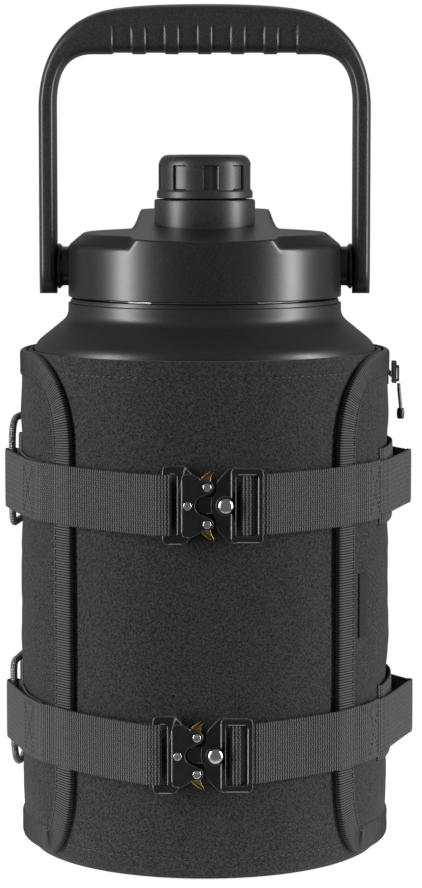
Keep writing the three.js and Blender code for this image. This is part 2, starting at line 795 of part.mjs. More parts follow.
// ---------------------------------------------------------------- webbing
/** Flat webbing whose centreline is a list of [x, y] points seen from above, its ends square. */
function webbing(strap, line, width) {
  const half = strapThickness / 2;
  const normals = line.map((_, i) => {
    const a = line[Math.max(i - 1, 0)];
    const b = line[Math.min(i + 1, line.length - 1)];
    const length = Math.hypot(b[0] - a[0], b[1] - a[1]);
    return [(a[1] - b[1]) / length, (b[0] - a[0]) / length];
  });
  const side = (sign) =>
    line.map(([x, y], i) => [x + sign * half * normals[i][0], y + sign * half * normals[i][1]]);
  const made = plate([...side(1), ...side(-1).reverse()], width).translate(0, 0, strap.height - width / 2);
  const position = made.attributes.position;
  for (let i = 0; i < position.count; i++)
    position.setZ(i, position.getZ(i) + strapRise(strap, position.getX(i), position.getY(i)));
  return made;
}

/** Points on a circle about the sleeve's axis, every few degrees. */
function around(radius, from, to, step = 5) {
  const count = Math.max(1, Math.round(Math.abs(to - from) / step));
  return Array.from({ length: count + 1 }, (_, i) => polar(radius, from + ((to - from) * i) / count));
}

/** Place of a buckle's (u, w) seen from above. */
const buckleAt = (strap, [u, w]) => [strap.buckleX + u, -(panelSurface + w)];

/** Centre of the cord inside the left strap's fold, and inside the rear band's fold. */
const foldRadius = cordRadius + cordClearance + strapThickness / 2;
const frontFold = [-(pocketOuter + 4.4), -4.6];
const rearFold = polar(layerA + foldRadius, -108);

const barBack = 2.4; // back of the bars that the webbing goes round
const barFront = 4.4;

/** Left strap: round the receiver's bar, over the pocket, round the cord ring and back under itself. */
function leftStrap(strap) {
  const bend = (barFront - barBack) / 2 + 0.2 + strapThickness / 2;
  const middle = (barBack + barFront) / 2;
  const atBuckle = [
    [-25.5, middle - bend],
    ...arc(-20.05, middle, bend, -90, 90, 8),
    [-23.2, middle + bend - 0.2],
  ].map((point) => buckleAt(strap, point));
  const fold = arc(...frontFold, foldRadius, 192, -6, 9);
  return [
    ...atBuckle,
    ...around(layerA, -44.5, -51, 6.5),
    ...around(layerB, -56, -70, 7),
    ...fold,
    ...around(layerA, -70, -58, 6),
  ];
}

/** Right strap: from behind the adjuster's bar, over it, under the frame's end and on to the side loop. */
function rightStrap(strap) {
  const barMiddle = 3;
  const bend = 1.65;
  const atBuckle = [
    [16.2, barMiddle - bend],
    ...arc(13.9, barMiddle, bend, 270, 90, 8),
    [15.5, barMiddle + bend],
    [16.4, 4.2],
    [17, 3.1],
    [17.8, 2],
    [19, 1.6],
    [23, 1.6],
  ].map((point) => buckleAt(strap, point));
  return [...atBuckle, ...around(layerA, 44.5, 51, 6.5), ...around(layerB, 56, slotAngle - 4.5, 4)];
}

/** Side loop: sewn under the end of the right strap, it stands out and comes back to the rear band. */
function sideLoop(reach) {
  const turn = strapThickness / 2 + 1;
  const peak = [reach - turn - strapThickness / 2, 1.5];
  const root = [...around(layerA, 57, 63, 3), polar(layerB - 0.4, 66.5), polar(layerB + 0.6, 70.5)];
  return [...root, ...arc(...peak, turn, -14, 118, 6), ...around(layerB, 101, 110, 4.5)];
}

/** Rear band: out of the pocket's slot, round the back with a slack bulge, and round the cord ring. */
function rearBand() {
  const inside = polar(pocketInner + 1.4, slotAngle + 0.2);
  const bulge = [polar(layerA, 100), polar(layerA, 112), polar(layerA + 1.2, 118), polar(layerA, 126)];
  const back = around(layerA, 130, 252 - foldTangent, 6);
  const fold = foldArc();
  const lead = polar(layerA - 1.2, slotAngle + 0.4);
  return [inside, lead, ...around(layerA, slotAngle + 2, 95, 6), ...bulge, ...back, ...fold];
}

const foldTangent = 4; // degrees before the rear cord where the band leaves the sleeve's circle
const rearTail = 20; // degrees that the band's end runs back over itself

/** The band's fold round the rear stretch of the cord, and its end on top of itself. */
function foldArc() {
  const inward = THREE.MathUtils.radToDeg(Math.atan2(-rearFold[1], -rearFold[0]));
  const end = around(layerB, -120, -108 - rearTail, 4);
  return [...arc(...rearFold, foldRadius, inward, inward - 180, 8), ...end];
}

/** Cord ring that links the left strap's fold to the rear band's fold, upright in both. */
function cordRing(strap) {
  const level = strap.height + strap.rise;
  const [a, b] = [frontFold, rearFold];
  const reach = Math.hypot(b[0] - a[0], b[1] - a[1]);
  const [low, high] = [strap.ringBottom, strap.ringTop];
  const straight = rearBandWidth / 2 + 0.5;
  const [under, over] = [-low - straight, high - straight];
  const corners = [
    [0, 3],
    ...arc(over, straight, over, 180, 90, 3),
    ...arc(reach - over, straight, over, 90, 0, 3),
    [reach, 0],
    ...arc(reach - under, -straight, under, 360, 270, 3),
    ...arc(under, -straight, under, 270, 180, 3),
    [0, -3],
  ];
  const at = ([t, z]) => {
    const share = t / reach;
    return new THREE.Vector3(a[0] + (b[0] - a[0]) * share, a[1] + (b[1] - a[1]) * share, level + z);
  };
  const path = new THREE.CatmullRomCurve3(corners.map(at), false, "centripetal");
  const joint = rod(cordRadius + 0.15, level - 4, level + 4, 10).translate(a[0], a[1], 0);
  return combine(tube(path, cordRadius, 24), [joint]);
}

// ---------------------------------------------------------------- buckles
const backFrom = buckleLift;
const backTo = backFrom + plateThickness;
const coverFrom = backTo + leverGap;
const coverTo = coverFrom + coverThickness;
const frameHalf = strapWidth / 2 + frameMargin;
const slotHalf = strapWidth / 2 + 0.5;
const tongueFrom = backTo + 0.4;

/** Outline mirrored about v = 0, from points on its upper half given from left to right. */
const mirroredOutline = (upper) => [...upper, ...upper.slice().reverse().map(([u, v]) => [u, -v])].reverse();

/** Receiver's frame: back plate, spacer block, side arms and the bar for the left strap. */
function receiverFrame() {
  const back = plate(
    mirroredOutline([
      [-15, frameHalf],
      [-10.5, frameHalf],
      [-8, frameHalf - 2.9],
      [-1.5, 10.9],
      [0.1, 8.5],
      [-0.6, 5.5],
      [-1.9, 4],
      [-1.9, 0.6],
    ]),
    backTo - backFrom,
  );
  const parts = [
    block([-15, -frameHalf, backFrom], [-9.6, frameHalf, coverFrom - gap]),
    ...[1, -1].map((side) => {
      const edges = [side * (slotHalf + 0.2), side * frameHalf].sort((a, b) => a - b);
      return block([-21.6, edges[0], barBack - 0.4], [-14, edges[1], barFront + 0.4]);
    }),
    block([-21.4, -frameHalf + 1, barBack], [-19.9, frameHalf - 1, barFront]),
  ];
  const holes = [[leverPivot.u, leverPivot.v], [leverPivot.u, -leverPivot.v], [-10.9, 0]];
  const cuts = holes.map(([u, v]) => rod(rivetRadius + 0.25, 0, coverTo, 12).translate(u, v, 0));
  return combine(back.translate(0, 0, backFrom), parts, cuts);
}

/** Receiver's cover: two lobes over the lever pivots, with a round recess for the tongue between them. */
function receiverCover() {
  const { u, v } = leverPivot;
  const recess = arc(-3.8, 0, 3.8, 180, 100, 5);
  const lobe = arc(u, v, 2.8, 78, -62, 7);
  const flank = [[-13.4, 10.4], [-11.8, 13.2], [-9, 13.2], [-5.5, 11.4]];
  const upper = [...flank, ...lobe, ...recess.slice().reverse()];
  const outline = [...upper, ...upper.slice(0, -1).reverse().map(([a, b]) => [a, -b])].reverse();
  const holes = [[u, v], [u, -v], [-10.9, 0]];
  const cuts = holes.map(([a, b]) => rod(rivetRadius + 0.25, 0, coverTo + 2, 12).translate(a, b, 0));
  return combine(plate(outline, coverThickness).translate(0, 0, coverFrom), [], cuts);
}

/** Sprung lever on a pivot rivet, with the fin that a finger presses. side is 1 above and -1 below. */
function lever(side) {
  const shape = new THREE.Shape();
  const start = rad(50);
  shape.moveTo(2.4 * Math.cos(start), 2.4 * Math.sin(start));
  shape.absarc(0, 0, 2.4, start, rad(130), true);
  const fin = [[-2.9, 2.6], [-2.1, 4.4], [0.3, 6.2], [3.3, 7.6], [3.1, 6.6], [1.9, 4.4]];
  for (const [u, v] of fin) shape.lineTo(u, v);
  const hole = new THREE.Path();
  hole.absarc(0, 0, rivetRadius + 0.3, 0, 2 * Math.PI);
  shape.holes.push(hole);
  const options = { depth: tongueThickness, bevelEnabled: false, curveSegments: 5 };
  const made = new THREE.ExtrudeGeometry(shape, options);
  made.translate(0, 0, tongueFrom);
  return side > 0 ? made : made.rotateX(Math.PI).translate(0, 0, 2 * tongueFrom + tongueThickness);
}

/** Adjuster: tongue, waist round the stud and an end frame with a thin bar for the right strap. */
function adjuster() {
  const [from, to] = [1.2, coverTo - 0.7];
  const end = 21.8;
  const waist = arc(5.3, 0, 6.4, 180, 135, 3);
  const shoulder = [[0.9, 6], [1.6, 9.4], [6.8, frameHalf - 0.2]];
  const upper = [...waist, ...shoulder, [19.3, frameHalf], [end, frameHalf - 2.4]];
  const outline = [...upper, ...upper.slice(1).reverse().map(([a, b]) => [a, -b])].reverse();
  const body = plate(outline, to - from).translate(0, 0, from);
  const tongue = plate([...arc(-3.4, 0, 3.6, 90, 270, 8), [3, -3.6], [3, 3.6]], tongueThickness);
  const bar = { from: 13.4, to: 15.4, back: 2.4, front: 3.6 };
  const cuts = [
    block([9.8, -slotHalf, 0], [bar.from, slotHalf, to + 1]),
    block([bar.to, -slotHalf, 0], [19, slotHalf, to + 1]),
    block([bar.from - 0.1, -slotHalf, bar.front], [bar.to + 0.1, slotHalf, to + 1]),
    block([bar.from - 0.1, -slotHalf, 0], [bar.to + 0.1, slotHalf, bar.back]),
    block([18.9, -slotHalf, 0], [end + 1, slotHalf, 2.9]),
    rod(1.7, 0, to + 1, 12).translate(5.3, 0, 0),
  ];
  return combine(body, [tongue.translate(0, 0, tongueFrom)], cuts);
}

function rivet() {
  return turned(
    [
      [0, backFrom - 0.1],
      [rivetRadius, backFrom - 0.1],
      [rivetRadius, coverTo + 0.1],
      [rivetHead, coverTo + 0.1],
      [rivetHead - 0.2, coverTo + 0.6],
      [0, coverTo + 0.7],
    ],
    10,
  );
}

function stud() {
  const seat = coverTo - 0.4;
  return turned(
    [
      [0, 1],
      [1.4, 1],
      [1.4, seat],
      [studHead, seat],
      [studHead - 0.1, seat + 0.9],
      [studHead - 1.1, seat + 1.8],
      [0, seat + 2.1],
    ],
    14,
  );
}

/** Small coil spring that pushes a lever's hub, wound along u. */
const leverSpring = () => tube(new Helix(0.75, 1.3, 2.6, -9.2, true), 0.22, 14, 6);

/** Adds one strap with its buckle, loops and ring. */
function addStrap(prefix, strap, reach) {
  const straps = new THREE.Group();
  group.add(straps);
  add(straps, `${prefix}_strap_left`, webbing(strap, leftStrap(strap), strapWidth), finish.webbing);
  add(straps, `${prefix}_strap_right`, webbing(strap, rightStrap(strap), strapWidth), finish.webbing);
  add(straps, `${prefix}_side_loop`, webbing(strap, sideLoop(reach), strapWidth - 2), finish.webbing);
  add(straps, `${prefix}_rear_band`, webbing(strap, rearBand(), rearBandWidth), finish.webbing);
  add(straps, `${prefix}_cord_ring`, cordRing(strap), finish.cord);

  const buckle = new THREE.Group();
  buckle.rotation.x = Math.PI / 2; // u to +X, v to +Z, w to -Y
  buckle.position.set(strap.buckleX, -panelSurface, strap.height);
  group.add(buckle);
  add(buckle, `${prefix}_buckle_receiver`, receiverFrame(), finish.anodised);
  add(buckle, `${prefix}_buckle_cover`, receiverCover(), finish.anodised);
  add(buckle, `${prefix}_buckle_adjuster`, adjuster(), finish.anodised);
  const { u, v } = leverPivot;
  for (const [place, side] of [["top", 1], ["bottom", -1]]) {
    add(buckle, `${prefix}_lever_${place}`, lever(side), finish.brass).position.set(u, side * v, 0);
    add(buckle, `${prefix}_rivet_${place}`, rivet(), finish.steel).position.set(u, side * v, 0);
    const spring = add(buckle, `${prefix}_spring_${place}`, leverSpring(), finish.steel);
    spring.position.set(0, side * 6.6, (backTo + coverFrom) / 2);
  }
  add(buckle, `${prefix}_rivet_left`, rivet(), finish.steel).position.set(-10.9, 0, 0);
  add(buckle, `${prefix}_adjuster_stud`, stud(), finish.steel).position.set(5.3, 0, 0);
}

addStrap("upper", upperStrap, layerA + loopStandOut.upper);
addStrap("lower", lowerStrap, layerA + loopStandOut.lower);

export default group;
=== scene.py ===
"""Looks of a one-gallon insulated jug that stands in a padded sleeve with two buckled straps.

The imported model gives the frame: every piece is made in metres where its solid lies, rides on the
body that carries it and takes the place of the plain solid. Sizes in the classes are millimetres.
"""
import logging
import math
from dataclasses import dataclass
from enum import Enum
from functools import cache
from typing import Iterable, Sequence

import bmesh
import bpy
import numpy as np
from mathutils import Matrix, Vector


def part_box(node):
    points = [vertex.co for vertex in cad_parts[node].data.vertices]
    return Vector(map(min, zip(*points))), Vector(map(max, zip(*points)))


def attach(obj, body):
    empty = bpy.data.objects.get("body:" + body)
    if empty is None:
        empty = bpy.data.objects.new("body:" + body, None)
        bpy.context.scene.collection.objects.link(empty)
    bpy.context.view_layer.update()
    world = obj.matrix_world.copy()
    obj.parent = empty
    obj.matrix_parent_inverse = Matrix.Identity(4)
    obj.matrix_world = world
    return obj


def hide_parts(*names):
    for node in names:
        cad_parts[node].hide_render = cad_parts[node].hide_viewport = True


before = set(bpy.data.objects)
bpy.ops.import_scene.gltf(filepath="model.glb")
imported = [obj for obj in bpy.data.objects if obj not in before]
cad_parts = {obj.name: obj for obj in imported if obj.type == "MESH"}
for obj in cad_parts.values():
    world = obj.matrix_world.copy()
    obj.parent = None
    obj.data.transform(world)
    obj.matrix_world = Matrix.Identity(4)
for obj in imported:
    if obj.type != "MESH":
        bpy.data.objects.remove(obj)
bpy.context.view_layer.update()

LOG = logging.getLogger("jug")
MM = 0.001
FLAT_BANDS = np.array([0.30, 0.12])  # insets of the rings that keep a plate's face flat by its edge
RAYS = 420  # points of a framed outline
Array = np.ndarray


# ---------------------------------------------------------------- curves and surfaces
def smooth_step(x: Array, low: float, high: float) -> Array:
    """Goes smoothly from 0 at low to 1 at high, as 3t^2 - 2t^3.

    Args:
        x: Where to evaluate.
        low: Value of x where the step starts.
        high: Value of x where the step ends.

    Returns:
        The step's height at each x.
    """
    t = np.clip((x - low) / (high - low), 0.0, 1.0)
    return t * t * (3.0 - 2.0 * t)


def soft_min(a: Array, b: Array, blend: float) -> Array:
    """The smaller of two surfaces with a rounded ridge, (a + b - sqrt((a - b)^2 + k^2)) / 2.

    Args:
        a: First height.
        b: Second height.
        blend: Size k of the rounding.

    Returns:
        The joined height.
    """
    return 0.5 * (a + b - np.sqrt((a - b) ** 2 + blend * blend))


def rounded(corners: Sequence[Sequence[float]], closed: bool = False, steps: int = 6) -> Array:
    """A line through corners, each [x, y] or [x, y, radius], with its corners rounded.

    A corner B with neighbours A and C becomes the parabola (1-t)^2 P + 2t(1-t) B + t^2 Q, where P and Q
    lie on BA and BC at the corner's radius from B, and no further than half way.

    Args:
        corners: The corners in order.
        closed: Whether the last corner joins the first.
        steps: Points round each corner.

    Returns:
        Points, one row each.
    """
    points = np.array([c[:2] for c in corners], dtype=float)
    radii = np.array([c[2] if len(c) > 2 else 0.0 for c in corners])
    before, after = np.roll(points, 1, axis=0), np.roll(points, -1, axis=0)
    to_before, to_after = before - points, after - points
    reach_before = np.linalg.norm(to_before, axis=1)
    reach_after = np.linalg.norm(to_after, axis=1)
    run_before = (np.minimum(radii, 0.5 * reach_before) / np.maximum(reach_before, 1e-9))[:, None]
    run_after = (np.minimum(radii, 0.5 * reach_after) / np.maximum(reach_after, 1e-9))[:, None]
    start = points + to_before * run_before
    end = points + to_after * run_after
    t = np.linspace(0.0, 1.0, steps)[None, :, None]
    arcs = (1 - t) ** 2 * start[:, None] + 2 * t * (1 - t) * points[:, None] + t * t * end[:, None]
    pieces = [arcs[i] if radii[i] > 0 and (closed or 0 < i < len(points) - 1) else points[i:i + 1]
              for i in range(len(points))]
    return np.vstack(pieces)


def resample(line: Array, spacing: float, closed: bool = False) -> Array:
    """Points at even spacing along a line.

    Args:
        line: Points of the line.
        spacing: Wanted distance between points.
        closed: Whether the line returns to its first point.

    Returns:
        The even points; a closed line repeats its first point at the end.
    """
    path = np.vstack([line, line[:1]]) if closed else line
    steps = np.linalg.norm(np.diff(path, axis=0), axis=1)
    path = path[np.concatenate([[True], steps > 1e-9])]
    along = np.concatenate([[0.0], np.cumsum(np.linalg.norm(np.diff(path, axis=0), axis=1))])
    places = np.linspace(0.0, along[-1], max(2, int(round(along[-1] / spacing)) + 1))
    return np.stack([np.interp(places, along, path[:, k]) for k in range(path.shape[1])], axis=1)


def flow(line: Array, rounds: int) -> Array:
    """Softens a line's bends by repeated averaging of each point with its neighbours.

    Args:
        line: Even points; the two ends stay.
        rounds: How many times to average.

    Returns:
        The softened line.
    """
    soft = line.copy()
    for _ in range(rounds):
        soft[1:-1] = 0.25 * soft[:-2] + 0.5 * soft[1:-1] + 0.25 * soft[2:]
    return soft


def lengths(line: Array) -> Array:
    """Distance along a line at each of its points."""
    return np.concatenate([[0.0], np.cumsum(np.linalg.norm(np.diff(line, axis=0), axis=1))])


def box_section(half_a: float, half_b: float, count: int, power: float) -> Array:
    """A rounded box as the superellipse |a/A|^p + |b/B|^p = 1.

    Args:
        half_a: Half size A.
        half_b: Half size B.
        count: Points round it.
        power: Exponent p; a larger one has squarer corners.

    Returns:
        Points of the closed section, the first repeated last.
    """
    t = np.linspace(0.0, 2 * math.pi, count + 1)
    a = np.sign(np.cos(t)) * np.abs(np.cos(t)) ** (2 / power)
    b = np.sign(np.sin(t)) * np.abs(np.sin(t)) ** (2 / power)
    return np.stack([half_a * a, half_b * b], axis=1)


def around(radius: Array, degrees: Array, z: Array) -> Array:
    """Points round the upright axis: x = r sin(angle), y = -r cos(angle), the angle from the front."""
    angle = np.radians(degrees)
    x, y, height = np.broadcast_arrays(radius * np.sin(angle), -radius * np.cos(angle), z)
    return np.stack([x, y, height], axis=-1)


def ripple(x: Array, y: Array, size: float, seed: int) -> Array:
    """A smooth uneven surface: a third of the sum of six plane sine waves in different directions.

    Args:
        x: First coordinate.
        y: Second coordinate.
        size: Typical wavelength, in the coordinates' unit.
        seed: Picks the waves' directions and phases.

    Returns:
        Heights mostly between -1 and 1.
    """
    rng = np.random.default_rng(seed)
    total = np.zeros(np.broadcast(x, y).shape)
    waves = zip(rng.uniform(0, math.pi, 6), rng.uniform(0, 6.28, 6), rng.uniform(0.7, 1.5, 6))
    for angle, phase, stretch in waves:
        wave = 2 * math.pi / (size * stretch)
        total += np.sin(wave * (math.cos(angle) * x + math.sin(angle) * y) + phase)
    return total / 3.0


@dataclass
class Patch:
    """A grid of points in millimetres with a surface coordinate for each point.

    Attributes:
        points: Rows by columns by 3.
        uv: Rows by columns by 2, in millimetres along the surface.
        cap_ends: Whether the first and last rows are closed with a face.
    """

    points: Array
    uv: Array
    cap_ends: bool = False

    def faces(self, offset: int) -> list[list[int]]:
        """Corner numbers of the grid's faces.

        Args:
            offset: Number of the grid's first point in the whole mesh.

        Returns:
            One list for each face.
        """
        rows, columns = self.points.shape[:2]
        number = np.arange(rows * columns).reshape(rows, columns) + offset
        quads = np.stack([number[:-1, :-1], number[:-1, 1:], number[1:, 1:], number[1:, :-1]], axis=-1)
        faces = quads.reshape(-1, 4).tolist()
        if self.cap_ends:
            faces += [number[0, :-1][::-1].tolist(), number[-1, :-1].tolist()]
        return faces


def surface_uv(points: Array) -> Array:
    """Surface coordinates from the distances along the middle row and the middle column."""
    rows, columns = points.shape[:2]
    v = lengths(points[:, columns // 2])[:, None] + np.zeros((1, columns))
    u = lengths(points[rows // 2])[None, :] + np.zeros((rows, 1))
    return np.stack([u, v], axis=-1)


def lathe(profile: Array, segments: int = 128) -> Patch:
    """A surface turned about the upright axis from [radius, height] points.

    Args:
        profile: Points of the section, in order.
        segments: Steps round the axis.

    Returns:
        The turned grid.
    """
    degrees = np.linspace(0.0, 360.0, segments + 1)[None, :]
    points = around(profile[:, :1], degrees, profile[:, 1:2])
    u = np.radians(degrees) * profile[:, 0].max() + np.zeros((len(profile), 1))
    v = lengths(profile)[:, None] + np.zeros((1, segments + 1))
    return Patch(points, np.stack([u, v], axis=-1))


def sweep(path: Array, across: Array, out: Array, section: Array, swell: Array | None = None) -> Patch:
    """A section carried along a path, P + a * across + b * out.

    Args:
        path: Points of the path.
        across: Unit vector of the section's first coordinate at each point.
        out: Unit vector of its second coordinate at each point.
        section: Closed section points [a, b].
        swell: Factor on b at each point of the path, or none.

    Returns:
        The swept grid, its ends capped.
    """
    factor = np.ones(len(path)) if swell is None else swell
    a, b = section[None, :, 0, None], section[None, :, 1, None] * factor[:, None, None]
    points = path[:, None] + a * across[:, None] + b * out[:, None]
    u = section[None, :, 0] + np.zeros((len(path), 1))
    v = lengths(path)[:, None] + np.zeros((1, len(section)))
    return Patch(points, np.stack([u, v], axis=-1), cap_ends=True)


def unit(vectors: Array) -> Array:
    """Vectors scaled to length 1."""
    return vectors / np.maximum(np.linalg.norm(vectors, axis=-1, keepdims=True), 1e-9)


def tube(path: Array, radius: Array | float, sides: int, closed: bool) -> Patch:
    """A round cord along a path, its section turned with the path by carried frames.

    Args:
        path: Even points of the middle line; a closed one repeats its first point.
        radius: One radius, or one for each point.
        sides: Points round the section.
        closed: Whether the path is a loop.

    Returns:
        The cord's grid.
    """
    along = unit(np.gradient(path, axis=0))
    if closed:
        along[0] = along[-1] = unit(path[1] - path[-2])
    side = np.zeros_like(path)
    last = unit(np.cross(along[0], [0.31, 0.17, 0.93]))
    for i, direction in enumerate(along):
        last = unit(last - direction * last.dot(direction))
        side[i] = last
    up = np.cross(along, side)
    angle = np.linspace(0.0, 2 * math.pi, sides + 1)
    reach = (np.ones(len(path)) * radius)[:, None, None]
    ring = np.cos(angle)[None, :, None] * side[:, None] + np.sin(angle)[None, :, None] * up[:, None]
    v = lengths(path)[:, None] + np.zeros((1, sides + 1))
    u = angle[None, :] * np.mean(radius) + np.zeros((len(path), 1))
    return Patch(path[:, None] + reach * ring, np.stack([u, v], axis=-1), cap_ends=not closed)


def edge_rings(bevel: float) -> tuple[Array, Array]:
    """How far in from a plate's wall, and how far from its face, each ring of a rounded edge lies.

    The edge is a quarter round: bevel * (1 - sin a) in and bevel * (1 - cos a) down. Two more rings on
    the face itself keep it flat.

    Args:
        bevel: Radius of the edge.

    Returns:
        The insets and the drops, from the face outwards.
    """
    angle = np.radians([0.0, 30.0, 60.0, 90.0])
    inset = np.append(FLAT_BANDS + bevel, (1 - np.sin(angle)) * bevel)
    drop = np.append(np.zeros(len(FLAT_BANDS)), bevel * (1 - np.cos(angle)))
    return inset, drop


def plate(outline: Array, low: float, high: float, bevel: float) -> Patch:
    """A flat plate with rounded edges, its outline in x and y and its thickness along z.

    Args:
        outline: Closed outline, anticlockwise, without its first point repeated.
        low: Height of the lower face.
        high: Height of the upper face.
        bevel: Radius of the rounded edges.

    Returns:
        The plate's grid with both faces closed.
    """
    loop = np.vstack([outline, outline[:1]])
    tangent = unit(np.roll(outline, -1, axis=0) - np.roll(outline, 1, axis=0))
    inward = np.stack([-tangent[:, 1], tangent[:, 0]], axis=1)
    inward = np.vstack([inward, inward[:1]])
    inset, drop = edge_rings(bevel)
    inset, height = np.append(inset, inset[::-1]), np.append(low + drop, (high - drop)[::-1])
    flat = loop[None] + inset[:, None, None] * inward[None]
    level = np.broadcast_to(height[:, None, None], flat.shape[:2] + (1,))
    points = np.concatenate([flat, level], axis=-1)
    uv = np.stack([points[..., 0], points[..., 1] + points[..., 2]], axis=-1)
    return Patch(points, uv, cap_ends=True)


def moved(patch: Patch, turn: Array, shift: Sequence[float]) -> Patch:
    """A patch turned by a matrix of row vectors and then shifted."""
    return Patch(patch.points @ turn + np.array(shift), patch.uv, patch.cap_ends)


def capsules(centres: Array, along: Array, out: Array, length: float, width: float) -> list[Patch]:
    """Short rounded stitches that lie along a seam.

    Each is the ellipsoid c + l/2 cos(a) along + w/2 sin(a) (cos(b) side + sin(b) out).

    Args:
        centres: Middle of each stitch.
        along: Unit direction of each.
        out: Unit normal of the cloth under each.
        length: Stitch length.
        width: Thread width.

    Returns:
        One patch for each stitch.
    """
    a = np.linspace(0.0, math.pi, 6)[:, None, None]
    b = np.linspace(0.0, 2 * math.pi, 7)[None, :, None]
    made = []
    for centre, direction, normal in zip(centres, along, out):
        side = np.cross(direction, normal)
        ring = np.cos(b) * side + np.sin(b) * normal
        points = centre + 0.5 * length * np.cos(a) * direction + 0.5 * width * np.sin(a) * ring
        made.append(Patch(points, np.zeros(points.shape[:2] + (2,))))
    return made


# ---------------------------------------------------------------- shader writing
class Value:
    """A number that varies over a surface. Its arithmetic adds Math nodes."""

    def __init__(self, shader: "Shader", socket: bpy.types.NodeSocket) -> None:
        """Wraps an output socket of a shader's tree."""
        self.shader = shader
        self.socket = socket

    def _math(self, operation: str, *terms: "Value | float") -> "Value":
        """A Math node of the given operation on the terms."""
        node = self.shader.node("ShaderNodeMath", {"operation": operation}, *terms)
        return Value(self.shader, node.outputs[0])

    def __add__(self, other: "Value | float") -> "Value":
        """Sum."""
        return self._math("ADD", self, other)

    def __sub__(self, other: "Value | float") -> "Value":
        """Difference."""
        return self._math("SUBTRACT", self, other)

    def __rsub__(self, other: float) -> "Value":
        """Difference from a number."""
        return self._math("SUBTRACT", other, self)

    def __mul__(self, other: "Value | float") -> "Value":
        """Product."""
        return self._math("MULTIPLY", self, other)

    def __truediv__(self, other: "Value | float") -> "Value":
        """Quotient."""
        return self._math("DIVIDE", self, other)

    def __pow__(self, other: float) -> "Value":
        """Power."""
        return self._math("POWER", self, other)

    def __mod__(self, other: float) -> "Value":
        """Remainder that stays positive."""
        return self._math("FLOORED_MODULO", self, other)

    __radd__ = __add__
    __rmul__ = __mul__

    def floor(self) -> "Value":
        """Whole part."""
        return self._math("FLOOR", self)

    def sine(self) -> "Value":
        """Sine, of radians."""
        return self._math("SINE", self)

    def size(self) -> "Value":
        """Absolute value."""
        return self._math("ABSOLUTE", self)

    def at_most(self, other: "Value | float") -> "Value":
        """The smaller of the two."""
        return self._math("MINIMUM", self, other)

    def at_least(self, other: "Value | float") -> "Value":
        """The larger of the two."""
        return self._math("MAXIMUM", self, other)

    def clamped(self) -> "Value":
        """The value held between 0 and 1."""
        return self.at_most(1.0).at_least(0.0)

    def above(self, level: float) -> "Value":
        """1 where the value is over a level, otherwise 0."""
        return self._math("GREATER_THAN", self, level)


